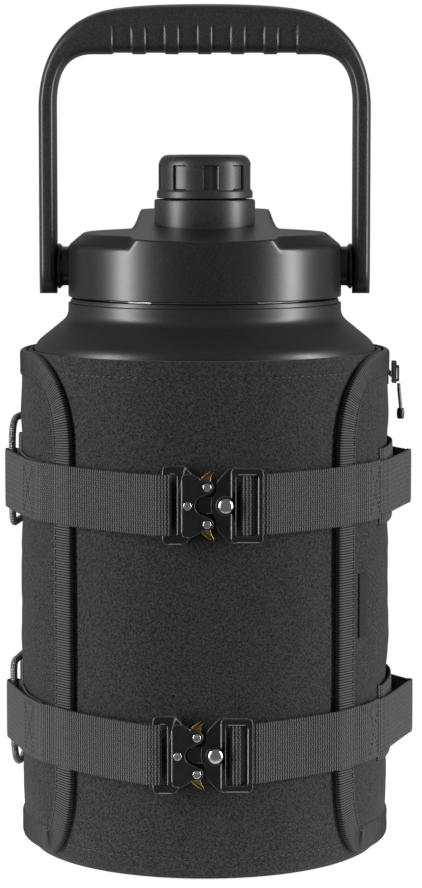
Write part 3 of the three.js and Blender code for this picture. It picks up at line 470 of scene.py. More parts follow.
class Shader:
    """A material with one principled surface and the helpers that its finish needs."""

    def __init__(self, name: str) -> None:
        """Starts an empty material of the given name."""
        self.material = bpy.data.materials.new(name)
        self.material.use_nodes = True
        self.tree = self.material.node_tree
        self.tree.nodes.clear()
        self.surface = self.node("ShaderNodeBsdfPrincipled", {})
        output = self.node("ShaderNodeOutputMaterial", {})
        self.tree.links.new(self.surface.outputs[0], output.inputs[0])

    def node(self, kind: str, settings: dict, *values: object, **named: object) -> bpy.types.Node:
        """Adds a node.

        Args:
            kind: The node's type.
            settings: Its own settings, set first; "stops" holds a ramp's [place, grey] pairs.
            *values: Values or links of its first sockets, in order.
            **named: Values or links of sockets by name, with _ for a space.

        Returns:
            The new node.
        """
        node = self.tree.nodes.new(kind)
        for key, value in settings.items():
            if key == "stops":
                while len(node.color_ramp.elements) < len(value):
                    node.color_ramp.elements.new(0.5)
                for element, (place, grey) in zip(node.color_ramp.elements, value):
                    element.position = place
                    element.color = (grey, grey, grey, 1.0)
            else:
                setattr(node, key, value)
        pairs = list(zip(node.inputs, values))
        pairs += [(node.inputs[key.replace("_", " ")], value) for key, value in named.items()]
        for socket, value in pairs:
            if isinstance(value, Value):
                self.tree.links.new(value.socket, socket)
            elif isinstance(value, bpy.types.NodeSocket):
                self.tree.links.new(value, socket)
            else:
                socket.default_value = value
        return node

    def place(self) -> bpy.types.NodeSocket:
        """The point on the object, in metres."""
        return self.node("ShaderNodeTexCoord", {}).outputs["Object"]

    def along(self) -> tuple[Value, Value]:
        """The two surface coordinates, in millimetres."""
        uv = self.node("ShaderNodeUVMap", {"uv_map": "surface"})
        parts = self.node("ShaderNodeSeparateXYZ", {}, uv.outputs[0])
        return Value(self, parts.outputs[0]), Value(self, parts.outputs[1])

    def noise(self, grain: float, detail: float = 2.0, rough: float = 0.5) -> Value:
        """Smooth noise from 0 to 1.

        Args:
            grain: Size of its features, in millimetres.
            detail: Finer layers added.
            rough: Weight of the finer layers.

        Returns:
            The noise.
        """
        node = self.node("ShaderNodeTexNoise", {}, Vector=self.place(), Scale=1.0 / (grain * MM),
                         Detail=detail, Roughness=rough)
        return Value(self, node.outputs[0])

    def cells(self, grain: float) -> Value:
        """Distance to the nearest point of a scatter, for flecks and pits."""
        node = self.node("ShaderNodeTexVoronoi", {}, Vector=self.place(), Scale=1.0 / (grain * MM))
        return Value(self, node.outputs[0])

    def edges(self) -> Value:
        """0 on flats and hollows, 1 on the sharpest outer edges: the mask of the painted edge highlights."""
        geometry = self.node("ShaderNodeNewGeometry", {})
        stops = [(0.52, 0.0), (0.62, 1.0)]
        ramp = self.node("ShaderNodeValToRGB", {"stops": stops}, geometry.outputs["Pointiness"])
        return Value(self, ramp.outputs[0])

    def colour(self, dark: Sequence[float], light: Sequence[float], share: Value) -> None:
        """Sets the base colour to a mix of two colours by a share."""
        mix = self.node("ShaderNodeMix", {"data_type": "RGBA"})
        self.tree.links.new(share.socket, mix.inputs[0])
        mix.inputs[6].default_value = (*dark, 1.0)
        mix.inputs[7].default_value = (*light, 1.0)
        self.tree.links.new(mix.outputs[2], self.surface.inputs["Base Color"])

    def roughness(self, value: Value) -> None:
        """Sets the roughness to a value that varies."""
        self.tree.links.new(value.socket, self.surface.inputs["Roughness"])

    def relief(self, height: Value, depth: float, strength: float = 1.0) -> None:
        """Bumps the surface.

        Args:
            height: Height from 0 to 1.
            depth: What 1 is, in millimetres.
            strength: How strongly the bump shows.
        """
        bump = self.node("ShaderNodeBump", {}, Strength=strength, Distance=depth * MM, Height=height)
        self.tree.links.new(bump.outputs[0], self.surface.inputs["Normal"])

    def constant(self, **values: object) -> None:
        """Sets sockets of the surface by name, with _ for a space."""
        for key, value in values.items():
            self.surface.inputs[key.replace("_", " ")].default_value = value


@dataclass(frozen=True)
class Finish:
    """What every finish has.

    Attributes:
        name: The material's name.
        tone: Darker base colour; weaves, ribs and strands lay it in their hollows as painted shade.
        light: Lighter base colour; weaves, ribs and strands lay it on their crests, and metals and plastics
            on their edges, as painted highlight; specks and mottling use it too.
    """

    name: str
    tone: tuple[float, float, float]
    light: tuple[float, float, float]

    def build(self) -> bpy.types.Material:
        """A new material with this finish."""
        shader = Shader(self.name)
        self.write(shader)
        return shader.material

    def write(self, shader: Shader) -> None:
        """Writes the finish into a new shader."""
        raise NotImplementedError


@dataclass(frozen=True)
class PowderCoat(Finish):
    """Matt powder coat: a fine orange-peel grain with scattered brighter specks."""

    grain: float = 0.55
    gloss: float = 0.28

    def write(self, shader: Shader) -> None:
        """Grain as bump, specks as colour, and slow gloss changes."""
        peel = shader.noise(self.grain, 2.5, 0.6)
        specks = (0.16 - shader.cells(self.grain * 1.3)) * 9.0
        shader.colour(self.tone, self.light, (specks.at_least(0.0) + (peel - 0.5) * 0.5).clamped())
        shader.roughness(self.gloss + 0.10 * shader.noise(30.0) + 0.08 * peel)
        shader.relief(peel, 0.035, 0.5)
        shader.constant(Specular_IOR_Level=0.55)


@dataclass(frozen=True)
class MouldedPlastic(Finish):
    """Matt moulding: fine spark-eroded texture, with its edges painted lighter as a highlight."""

    grain: float = 0.9
    gloss: float = 0.30

    def write(self, shader: Shader) -> None:
        """Texture as bump, edges lighter as painted highlight, and slow gloss changes."""
        texture = shader.noise(self.grain, 1.5, 0.5)
        edge_highlight_mask = shader.edges()
        # Edges take the lighter tone here: a painted highlight.
        shader.colour(self.tone, self.light, (edge_highlight_mask * 0.45 + 0.9 * (texture - 0.38)).clamped())
        shader.roughness(self.gloss + 0.06 * shader.noise(22.0) - 0.04 * edge_highlight_mask)
        shader.relief(texture, 0.016, 0.5)
        shader.constant(Specular_IOR_Level=0.5)


@dataclass(frozen=True)
class WovenCloth(Finish):
    """Plain weave of coated yarn, with the yarns' unevenness."""

    yarn: float = 0.62

    def write(self, shader: Shader) -> None:
        """Over-and-under yarns: sin(u) * sin(v) lifts one set of yarns where it drops the other."""
        u, v = shader.along()
        turn = math.pi / self.yarn
        weave = 0.5 + 0.5 * (u * turn).sine() * (v * turn).sine()
        slub = shader.noise(0.85, 2.0, 0.7)
        height = weave * 0.7 + slub * 0.3
        # Colour: raised yarns lighter and sunk yarns darker, painted highlight and shade; the slub is the
        # yarn's own uneven tone.
        weave_shade_and_slub_tone = weave * 0.9 + (slub - 0.5) * 3.4 + 0.05
        shader.colour(self.tone, self.light, weave_shade_and_slub_tone.clamped())
        shader.roughness(0.80 + 0.12 * slub)
        shader.relief(height, 0.16, 0.8)
        shader.constant(Sheen_Weight=0.08, Sheen_Roughness=0.5, Specular_IOR_Level=0.2)


@dataclass(frozen=True)
class Webbing(Finish):
    """Heavy webbing: ribs of thick yarn straight across, broken by the rows that run along it."""

    rib: float = 1.2
    row: float = 1.05

    def write(self, shader: Shader) -> None:
        """Ribs: |sin| along the length, cut by rows, every other row shifted by 0.12 of a rib."""
        u, v = shader.along()
        shifted = v / self.rib + 0.12 * ((u / self.row).floor() % 2.0)
        ribs = (shifted * math.pi).sine().size() ** 2.4
        rows = (u * (math.pi / self.row)).sine().size() ** 0.5
        lint = shader.noise(0.5, 2.0, 0.7)
        height = ribs * (0.35 + 0.65 * rows)
        # Colour: rib crests lighter and gaps darker, painted highlight and shade; lint is the yarn's own
        # uneven tone.
        shader.colour(self.tone, self.light, (height * 1.1 - 0.08 + (lint - 0.5) * 1.3).clamped())
        shader.roughness(0.72 + 0.15 * lint)
        shader.relief(height * 0.85 + lint * 0.15, 0.30, 0.9)
        shader.constant(Sheen_Weight=0.08, Sheen_Roughness=0.45, Specular_IOR_Level=0.25)


@dataclass(frozen=True)
class RibbedTape(Finish):
    """Grosgrain tape: fine cords straight across the tape."""

    rib: float = 1.15

    def write(self, shader: Shader) -> None:
        """Cords: |sin| along the tape, with fine warp threads across them."""
        u, v = shader.along()
        cords = (v * (math.pi / self.rib)).sine().size() ** 2.2
        threads = (u * (math.pi / 0.35)).sine().size()
        lint = shader.noise(0.4, 2.0, 0.6)
        # Colour: cords lighter and the gaps between them darker, painted highlight and shade; lint is the
        # yarn's own uneven tone.
        shader.colour(self.tone, self.light, (cords * 0.95 - 0.06 + (lint - 0.5) * 1.1).clamped())
        shader.roughness(0.70 + 0.15 * lint)
        shader.relief(cords * 0.8 + threads * 0.2, 0.14, 0.7)
        shader.constant(Sheen_Weight=0.08, Sheen_Roughness=0.4, Specular_IOR_Level=0.25)


@dataclass(frozen=True)
class Metal(Finish):
    """Machined or plated metal with fine grain, and brighter edges that are a painted highlight."""

    gloss: float = 0.28
    grain: float = 0.5
    metallic: float = 1.0
    # How strongly the edges take the lighter tone, as painted highlight.
    edge: float = 1.0

    def write(self, shader: Shader) -> None:
        """Grain in gloss and bump, edges in the lighter tone as painted highlight."""
        grain = shader.noise(self.grain, 2.0, 0.6)
        # Edges in the lighter tone are a painted highlight; the grain is the metal's own.
        share = (shader.edges() * self.edge + (grain - 0.5) * 0.25).clamped()
        shader.colour(self.tone, self.light, share)
        shader.roughness(self.gloss + 0.12 * grain)
        shader.relief(grain, 0.02, 0.35)
        shader.constant(Metallic=self.metallic)


@dataclass(frozen=True)
class Moulded(Finish):
    """Soft moulded material, such as silicone or foam: mottled, with fine pores."""

    gloss: float = 0.6
    pore: float = 1.0

    def write(self, shader: Shader) -> None:
        """Pores as bump and mottling as colour."""
        pores = shader.cells(self.pore)
        mottle = shader.noise(6.0, 2.0)
        shader.colour(self.tone, self.light, (0.6 * mottle + 0.4 * pores).at_most(1.0))
        shader.roughness(self.gloss + 0.15 * mottle)
        shader.relief(pores, 0.05, 0.5)


@dataclass(frozen=True)
class BraidedCord(Finish):
    """Round braided cord with pale reflective flecks among dark strands."""

    pitch: float = 2.1

    def write(self, shader: Shader) -> None:
        """Two crossing sets of strands; a checker of their crossings carries the pale flecks."""
        u, v = shader.along()
        left = ((v + 1.4 * u) * (2 * math.pi / self.pitch)).sine()
        right = ((v - 1.4 * u) * (2 * math.pi / self.pitch)).sine()
        height = 0.5 + 0.5 * left.at_least(right)
        flecks = (left * right).above(0.45) * shader.noise(1.4, 1.0).above(0.47)
        # The pale flecks are the reflective yarn's own colour; height * 0.12 lightens the strands' crowns as
        # painted highlight.
        shader.colour(self.tone, self.light, (flecks * 0.85 + height * 0.12).at_most(1.0))
        shader.roughness(0.65 - 0.25 * flecks)
        shader.relief(height, 0.2, 0.8)
        shader.constant(Sheen_Weight=0.2)


class Look(Enum):
    """The finishes that the jug's pieces choose from."""

    COAT = PowderCoat("powder_coat", (0.0070, 0.0070, 0.0075), (0.075, 0.075, 0.078))
    LINER = Metal("brushed_liner", (0.45, 0.45, 0.46), (0.72, 0.72, 0.73), gloss=0.26, edge=0.3)
    PLASTIC = MouldedPlastic("moulded_plastic", (0.0065, 0.0065, 0.0070), (0.032, 0.032, 0.033), gloss=0.31)
    # A lighter copy of the moulded plastic for the spout, the cap and the handle: its lighter tone is a
    # painted highlight for their brighter shine.
    PAINTED_HIGHLIGHT_PLASTIC = MouldedPlastic("plastic_painted_highlight", (0.0120, 0.0120, 0.0125), (0.060, 0.060, 0.061), gloss=0.38)
    CLOTH = WovenCloth("sleeve_cloth", (0.0020, 0.0020, 0.0022), (0.042, 0.042, 0.043))
    TAPE = RibbedTape("ribbed_tape", (0.0008, 0.0008, 0.0009), (0.088, 0.088, 0.090))
    WEB = Webbing("webbing", (0.0010, 0.0010, 0.0011), (0.125, 0.125, 0.127))
    THREAD = Moulded("sewing_thread", (0.020, 0.020, 0.021), (0.045, 0.045, 0.047), gloss=0.55, pore=0.3)
    BLACK_METAL = Metal("black_anodised", (0.0050, 0.0050, 0.0055), (0.20, 0.20, 0.205), gloss=0.26,
                        metallic=0.15)
    STEEL = Metal("polished_steel", (0.50, 0.50, 0.50), (0.80, 0.80, 0.80), gloss=0.16, grain=0.3)
    BRASS = Metal("satin_brass", (0.30, 0.20, 0.075), (0.62, 0.45, 0.20), gloss=0.25, grain=0.4)
    SILICONE = Moulded("silicone", (0.022, 0.022, 0.023), (0.034, 0.034, 0.035), gloss=0.55, pore=0.8)
    FOAM = Moulded("moulded_foam", (0.55, 0.54, 0.50), (0.72, 0.71, 0.68), gloss=0.8, pore=3.0)
    CORD = BraidedCord("reflective_cord", (0.018, 0.018, 0.019), (0.62, 0.62, 0.60))
    LABEL = RibbedTape("woven_label", (0.008, 0.008, 0.0085), (0.022, 0.022, 0.023), rib=0.5)
    ENAMEL = Metal("black_enamel", (0.012, 0.012, 0.013), (0.09, 0.09, 0.09), gloss=0.3, metallic=0.6)

    @cache
    def material(self) -> bpy.types.Material:
        """The finish's material, made once."""
        return self.value.build()


# ---------------------------------------------------------------- pieces
def make_piece(name: str, patches: Iterable[Patch], look: Look, body: str,
               nodes: Sequence[str] = (), crease: float = 32.0) -> bpy.types.Object:
    """Joins patches into one mesh object in the jug's frame, dressed and riding on its body.

    Args:
        name: The piece's name.
        patches: Its surfaces, in millimetres.
        look: Its finish.
        body: The body that carries it.
        nodes: CAD nodes that it takes the place of.
        crease: Edges sharper than this many degrees stay sharp.

    Returns:
        The finished object.
    """
    grids = list(patches)
    sizes = [grid.points.shape[0] * grid.points.shape[1] for grid in grids]
    offsets = np.concatenate([[0], np.cumsum(sizes)[:-1]]).astype(int)
    points = np.vstack([grid.points.reshape(-1, 3) for grid in grids]) * MM
    uv = np.vstack([grid.uv.reshape(-1, 2) for grid in grids])
    faces = [face for grid, offset in zip(grids, offsets) for face in grid.faces(int(offset))]
    mesh = bpy.data.meshes.new(name)
    mesh.from_pydata(points.tolist(), [], faces)
    corners = np.empty(len(mesh.loops), dtype=np.int32)
    mesh.loops.foreach_get("vertex_index", corners)
    layer = mesh.uv_layers.new(name="surface")
    layer.data.foreach_set("uv", uv[corners].astype(np.float32).ravel())
    close_seams(mesh)
    mesh.shade_smooth()
    mesh.set_sharp_from_angle(angle=math.radians(crease))
    piece = bpy.data.objects.new(name, mesh)
    bpy.context.scene.collection.objects.link(piece)
    mesh.materials.append(look.material())
    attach(piece, body)
    if nodes:
        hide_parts(*nodes)
    LOG.info("%s: %d faces on %s", name, len(mesh.polygons), body)
    return piece


def close_seams(mesh: bpy.types.Mesh) -> None:
    """Welds the grids' doubled seams and poles, drops empty faces and turns faces outwards."""
    work = bmesh.new()
    work.from_mesh(mesh)
    bmesh.ops.remove_doubles(work, verts=work.verts, dist=1e-7)
    bmesh.ops.dissolve_degenerate(work, edges=work.edges, dist=1e-8)
    bmesh.ops.recalc_face_normals(work, faces=work.faces)
    work.to_mesh(mesh)
    work.free()


def dress(node: str, look: Look) -> None:
    """Gives a CAD node that stays in view its finish."""
    item = bpy.data.objects[node]
    item.data.materials.clear()
    item.data.materials.append(look.material())


def box_mm(node: str) -> tuple[Array, Array]:
    """A CAD node's lowest and highest corners, in millimetres."""
    low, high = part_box(node)
    return np.array(low) / MM, np.array(high) / MM


# ---------------------------------------------------------------- bottle
@dataclass
class Bottle:
    """The vacuum bottle: a coated outer shell, a brushed liner and a steel base.

    Attributes:
        wall: Sheet thickness.
        foot: Rounding at the bottom.
        head: Height of the shoulder and the neck together.
        shoulder: Height above the body's end where the shoulder meets the neck.
        neck: Radius of the neck.
        mouth: Radius of the lip's inner edge.
    """

    wall: float = 0.7
    foot: float = 5.0
    head: float = 20.6
    shoulder: float = 12.6
    neck: float = 61.0
    mouth: float = 53.4

    def build(self) -> None:
        """Makes the coated shell and dresses the steel that stays."""
        low, high = box_mm("outer_shell")
        radius, top, bottom = high[0], high[2], low[2]
        bend = top - self.head
        outside = [
            [radius - self.foot, bottom], [radius, bottom, self.foot], [radius, bend, 4.5],
            [self.neck, bend + self.shoulder, 3.5], [self.neck, top - 1.9, 0.6],
            [self.neck - 1.4, top - 1.7, 0.3], [self.neck - 1.4, top, 0.4], [self.mouth, top],
        ]
        inside = [
            [self.mouth, top - self.wall], [self.neck - self.wall - 0.4, top - self.wall],
            [self.neck - self.wall - 0.4, bend + self.shoulder - 0.4, 3.5],
            [radius - self.wall, bend - 0.4, 4.5], [radius - self.wall, bottom + self.wall, self.foot],
            [radius - self.foot, bottom + self.wall], [radius - self.foot, bottom],
        ]
        profile = np.vstack([rounded(outside, steps=10), rounded(inside, steps=6)])
        make_piece("coated_shell", [lathe(profile, 192)], Look.COAT, "bottle", ["outer_shell"])
        for node in ("inner_liner", "base_plate", "vacuum_getter"):
            dress(node, Look.LINER)


# ---------------------------------------------------------------- lid
@dataclass
class Lid:
    """The screw lid with its front-to-back bridge, its spout and its handle bosses.

    Attributes:
        skirt: Height of the skirt.
        wall: Thickness of the moulding.
        rounding: Radius of the skirt's edges.
        chamfer: Run and rise of the slope above the skirt.
        crown: Rise from the slope's top to the bridge's foot.
        bridge: Half widths of the bridge's top and foot.
        bridge_rise: Height of the bridge above the slope's top edge.
        fall: Drop of the bridge for each millimetre towards the front.
        facet: Run and rise of the cone that cuts off the bridge's back end.
        facet_drop: How far the cone's foot is under the bridge's middle.
        boss: Radius and length of a handle boss.
        pivot: Height of the handle's axis above the skirt's edge.
        bore: Radius of the spout's opening.
        neck: Radius and height of the spout's threaded neck.
        collar: Height of the collar under the neck.
        thread: Turns and lead of the thread.
    """

    skirt: float = 22.5
    wall: float = 2.6
    rounding: float = 1.2
    chamfer: tuple[float, float] = (7.1, 6.0)
    crown: float = 1.2
    bridge: tuple[float, float] = (29.5, 33.5)
    bridge_rise: float = 4.4
    fall: float = 0.1086
    facet: tuple[float, float] = (9.5, 9.0)
    facet_drop: float = 3.0
    boss: tuple[float, float] = (8.75, 4.6)
    pivot: float = 13.3
    bore: float = 14.0
    neck: tuple[float, float] = (17.4, 13.6)
    collar: float = 13.3
    thread: tuple[float, float] = (1.5, 5.0)

    def top_height(self, x: Array, y: Array, radius: float, rim: float) -> Array:
        """Height of the lid's top over a point.

        The turned top is a slope and a shallow crown. The bridge is a plane that falls towards the front,
        so it stands over the crown behind and is sunk in it in front, cut off by a cone at the back. A ramp
        in |x| passes from the one to the other.

        Args:
            x: Distance to the right.
            y: Distance to the back.
            radius: The lid's radius.
            rim: Height of the slope's lower edge.

        Returns:
            The height.
        """
        r = np.hypot(x, y)
        run, rise = self.chamfer
        slope = rim + (radius - r) * rise / run
        inward = np.clip((radius - run - r) / (radius - run - self.bridge[1]), 0.0, 1.0)
        shelf = rim + rise + self.crown * inward
        turned = soft_min(slope, shelf, 0.5)
        half_top, half_foot = self.bridge
        ramp = 1.0 - smooth_step(np.abs(x), half_top - 0.6, half_foot)
        middle = rim + rise + self.bridge_rise
        cone = middle - self.facet_drop + (radius - r) * self.facet[1] / self.facet[0]
        bridge = soft_min(middle + self.fall * y, cone, 0.5)
        return turned + (bridge - turned) * ramp

    def shell(self, bottom: float, radius: float) -> list[Patch]:
        """The outer wall, the shaped top and the inner wall as one closed surface.

        Args:
            bottom: Height of the skirt's edge.
            radius: The lid's radius.

        Returns:
            The shell's patches.
        """
        rim = bottom + self.skirt
        degrees = np.linspace(0.0, 360.0, 361)[None, :]
        rows = np.concatenate([
            np.linspace(radius, radius - 2.0, 9), np.linspace(radius - 2.4, radius - 12.0, 34),
            np.linspace(radius - 13.0, 0.0, 60),
        ])[:, None]
        x, y = rows * np.sin(np.radians(degrees)), -rows * np.cos(np.radians(degrees))
        edge = np.clip((rows - (radius - self.rounding)) / self.rounding, 0.0, 1.0)
        top = self.top_height(x, y, radius, rim) - self.rounding * (1.0 - np.sqrt(1.0 - edge * edge))
        cover = np.stack([x, y, top], axis=-1)
        share = np.linspace(0.0, 1.0, 14)[1:-1, None]
        low = bottom + 1.6
        wall_height = low + (top[:1] - low) * share
        wall = around(np.full_like(wall_height, radius), degrees, wall_height)
        inner = radius - self.wall
        roof = rim + self.chamfer[1] - self.wall
        under = rounded([[0.0, roof], [inner - self.chamfer[0], roof, 1.0], [inner, rim - self.wall, 1.0],
                         [inner, bottom, 0.5], [radius - self.rounding, bottom],
                         [radius, bottom, self.rounding], [radius, low]])
        inside = around(under[:, :1], degrees, under[:, 1:2])
        points = np.concatenate([inside, wall, cover])
        return [Patch(points, surface_uv(points))]

    def sideways(self, profile: Array, side: float, bottom: float) -> Patch:
        """A turned piece on the handle's axis.

        Args:
            profile: Its [radius, distance from the lid's middle] points.
            side: 1 for the right side, -1 for the left.
            bottom: Height of the skirt's edge.

        Returns:
            The piece, pointing to that side.
        """
        to_side = np.array([[0.0, 0.0, -side], [0.0, 1.0, 0.0], [side, 0.0, 0.0]])
        return moved(lathe(profile, 64), to_side, (0.0, 0.0, bottom + self.pivot))

    def bosses(self, bottom: float, radius: float) -> list[Patch]:
        """The two round bosses that carry the handle, each with a flared end."""
        boss, length = self.boss
        end = radius + length
        profile = rounded([[0.0, radius - 4.0], [boss, radius - 4.0], [boss, end - 2.0, 0.8],
                           [boss + 1.3, end - 1.1, 0.4], [boss + 1.3, end, 0.4], [0.0, end]])
        return [self.sideways(profile, side, bottom) for side in (1.0, -1.0)]

    def pins(self, bottom: float) -> None:
        """The caps of the two pivot pins, sunk in the handle's arms."""
        for name, side in (("left", -1.0), ("right", 1.0)):
            low, high = box_mm(f"pivot_pin_{name}")
            inner, outer = sorted((abs(low[0]), abs(high[0])))
            profile = rounded([[0.0, inner], [4.8, inner], [4.8, outer - 1.6], [7.4, outer - 1.6, 0.3],
                               [7.4, outer, 0.9], [3.6, outer, 0.3], [3.0, outer - 0.5, 0.3],
                               [0.0, outer - 0.5]])
            make_piece(f"pivot_cap_{name}", [self.sideways(profile, side, bottom)], Look.PLASTIC, "lid",
                       [f"pivot_pin_{name}"])

    def spout(self) -> None:
        """The spout: a long tube with its collar and a threaded neck above."""
        low, high = box_mm("spout_neck")
        rim, foot, collar = high[2], low[2], high[0]
        neck, tall = self.neck
        collar_top = rim - tall
        collar_foot = collar_top - self.collar
        profile = rounded([
            [self.bore, foot], [16.4, foot], [16.4, collar_foot], [collar, collar_foot, 0.5],
            [collar, collar_top, 1.0], [neck, collar_top, 0.6], [neck, rim, 1.0], [self.bore, rim, 1.0],
            [self.bore, foot]])
        count, lead = self.thread
        turns = np.linspace(0.0, count, 140)
        fade = np.minimum(1.0, np.minimum(turns, count - turns) * 9.0 + 0.15)  # thin at both ends
        helix = around(np.full_like(turns, 17.2), turns * 360.0, collar_top + 2.6 + lead * turns)
        ridge = tube(helix, 0.95 * fade, 10, closed=False)
        make_piece("spout_and_collar", [lathe(profile, 128), ridge], Look.PAINTED_HIGHLIGHT_PLASTIC, "lid",
                   ["spout_neck"])

    def build(self) -> None:
        """Makes the lid's pieces."""
        low, _ = box_mm("lid_shell")
        bottom, radius = low[2], Bottle.neck
        patches = self.shell(bottom, radius) + self.bosses(bottom, radius)
        make_piece("lid_cover", patches, Look.PLASTIC, "lid", ["lid_shell"], crease=40.0)
        self.pins(bottom)
        self.spout()
        dress("lid_plug", Look.PLASTIC)
        dress("lid_foam", Look.FOAM)
        dress("lid_gasket", Look.SILICONE)


@dataclass
class SpoutCap:
    """The small screw cap with windows sunk round its side.

    Attributes:
        height: Height of the cap.
        inside: Radius of its hollow.
        flange: Height of the wider rim at its foot.
        grip: Radius above the rim.
        windows: Number of windows.
        first: Angle of the first window from the front.
        half_angle: Half the angle that a window covers.
        depth: Depth of a window.
    """

    height: float = 19.2
    inside: float = 18.6
    flange: float = 3.0
    grip: float = 20.6
    windows: int = 9
    first: float = 7.2
    half_angle: float = 9.3
    depth: float = 1.25

    def build(self) -> None:
        """Makes the cap: a turned shape whose side is pushed in by the windows' soft-edged shape."""
        low, high = box_mm("spout_cap")
        bottom, radius = low[2], high[0]
        top = bottom + self.height
        outside = rounded([
            [self.inside, bottom], [radius, bottom, 0.5], [radius, bottom + self.flange, 0.7],
            [self.grip, bottom + self.flange + 0.8, 0.4], [self.grip, top - 3.4, 1.6],
            [self.grip - 1.6, top - 0.9, 1.4], [self.grip - 3.6, top, 1.2], [self.grip - 6.4, top, 0.6],
            [self.grip - 7.2, top - 0.7, 0.5], [0.0, top - 1.0]], steps=8)
        outside = resample(outside, 0.2)
        degrees = np.linspace(0.0, 360.0, 541)[None, :]
        step = 360.0 / self.windows
        away = np.abs((degrees - self.first + step / 2) % step - step / 2)
        beside = 1.0 - smooth_step(away, self.half_angle - 0.4, self.half_angle + 0.4)
        height = outside[:, 1:2]
        upright = smooth_step(height, bottom + self.flange + 0.9, bottom + self.flange + 1.3)
        upright = upright * (1.0 - smooth_step(height, top - 4.9, top - 4.5))
        radii = outside[:, :1] - self.depth * beside * upright * (outside[:, :1] > self.grip - 6.0)
        side = around(np.maximum(radii, 0.0), degrees, height)
        under = rounded([[0.0, top - 3.0], [self.inside, top - 3.0, 0.5], [self.inside, bottom]])
        inside = around(under[:, :1], degrees, under[:, 1:2])
        points = np.concatenate([inside, side])
        make_piece("grip_cap", [Patch(points, surface_uv(points))], Look.PAINTED_HIGHLIGHT_PLASTIC, "cap",
                   ["spout_cap"], crease=40.0)
        dress("cap_gasket", Look.SILICONE)


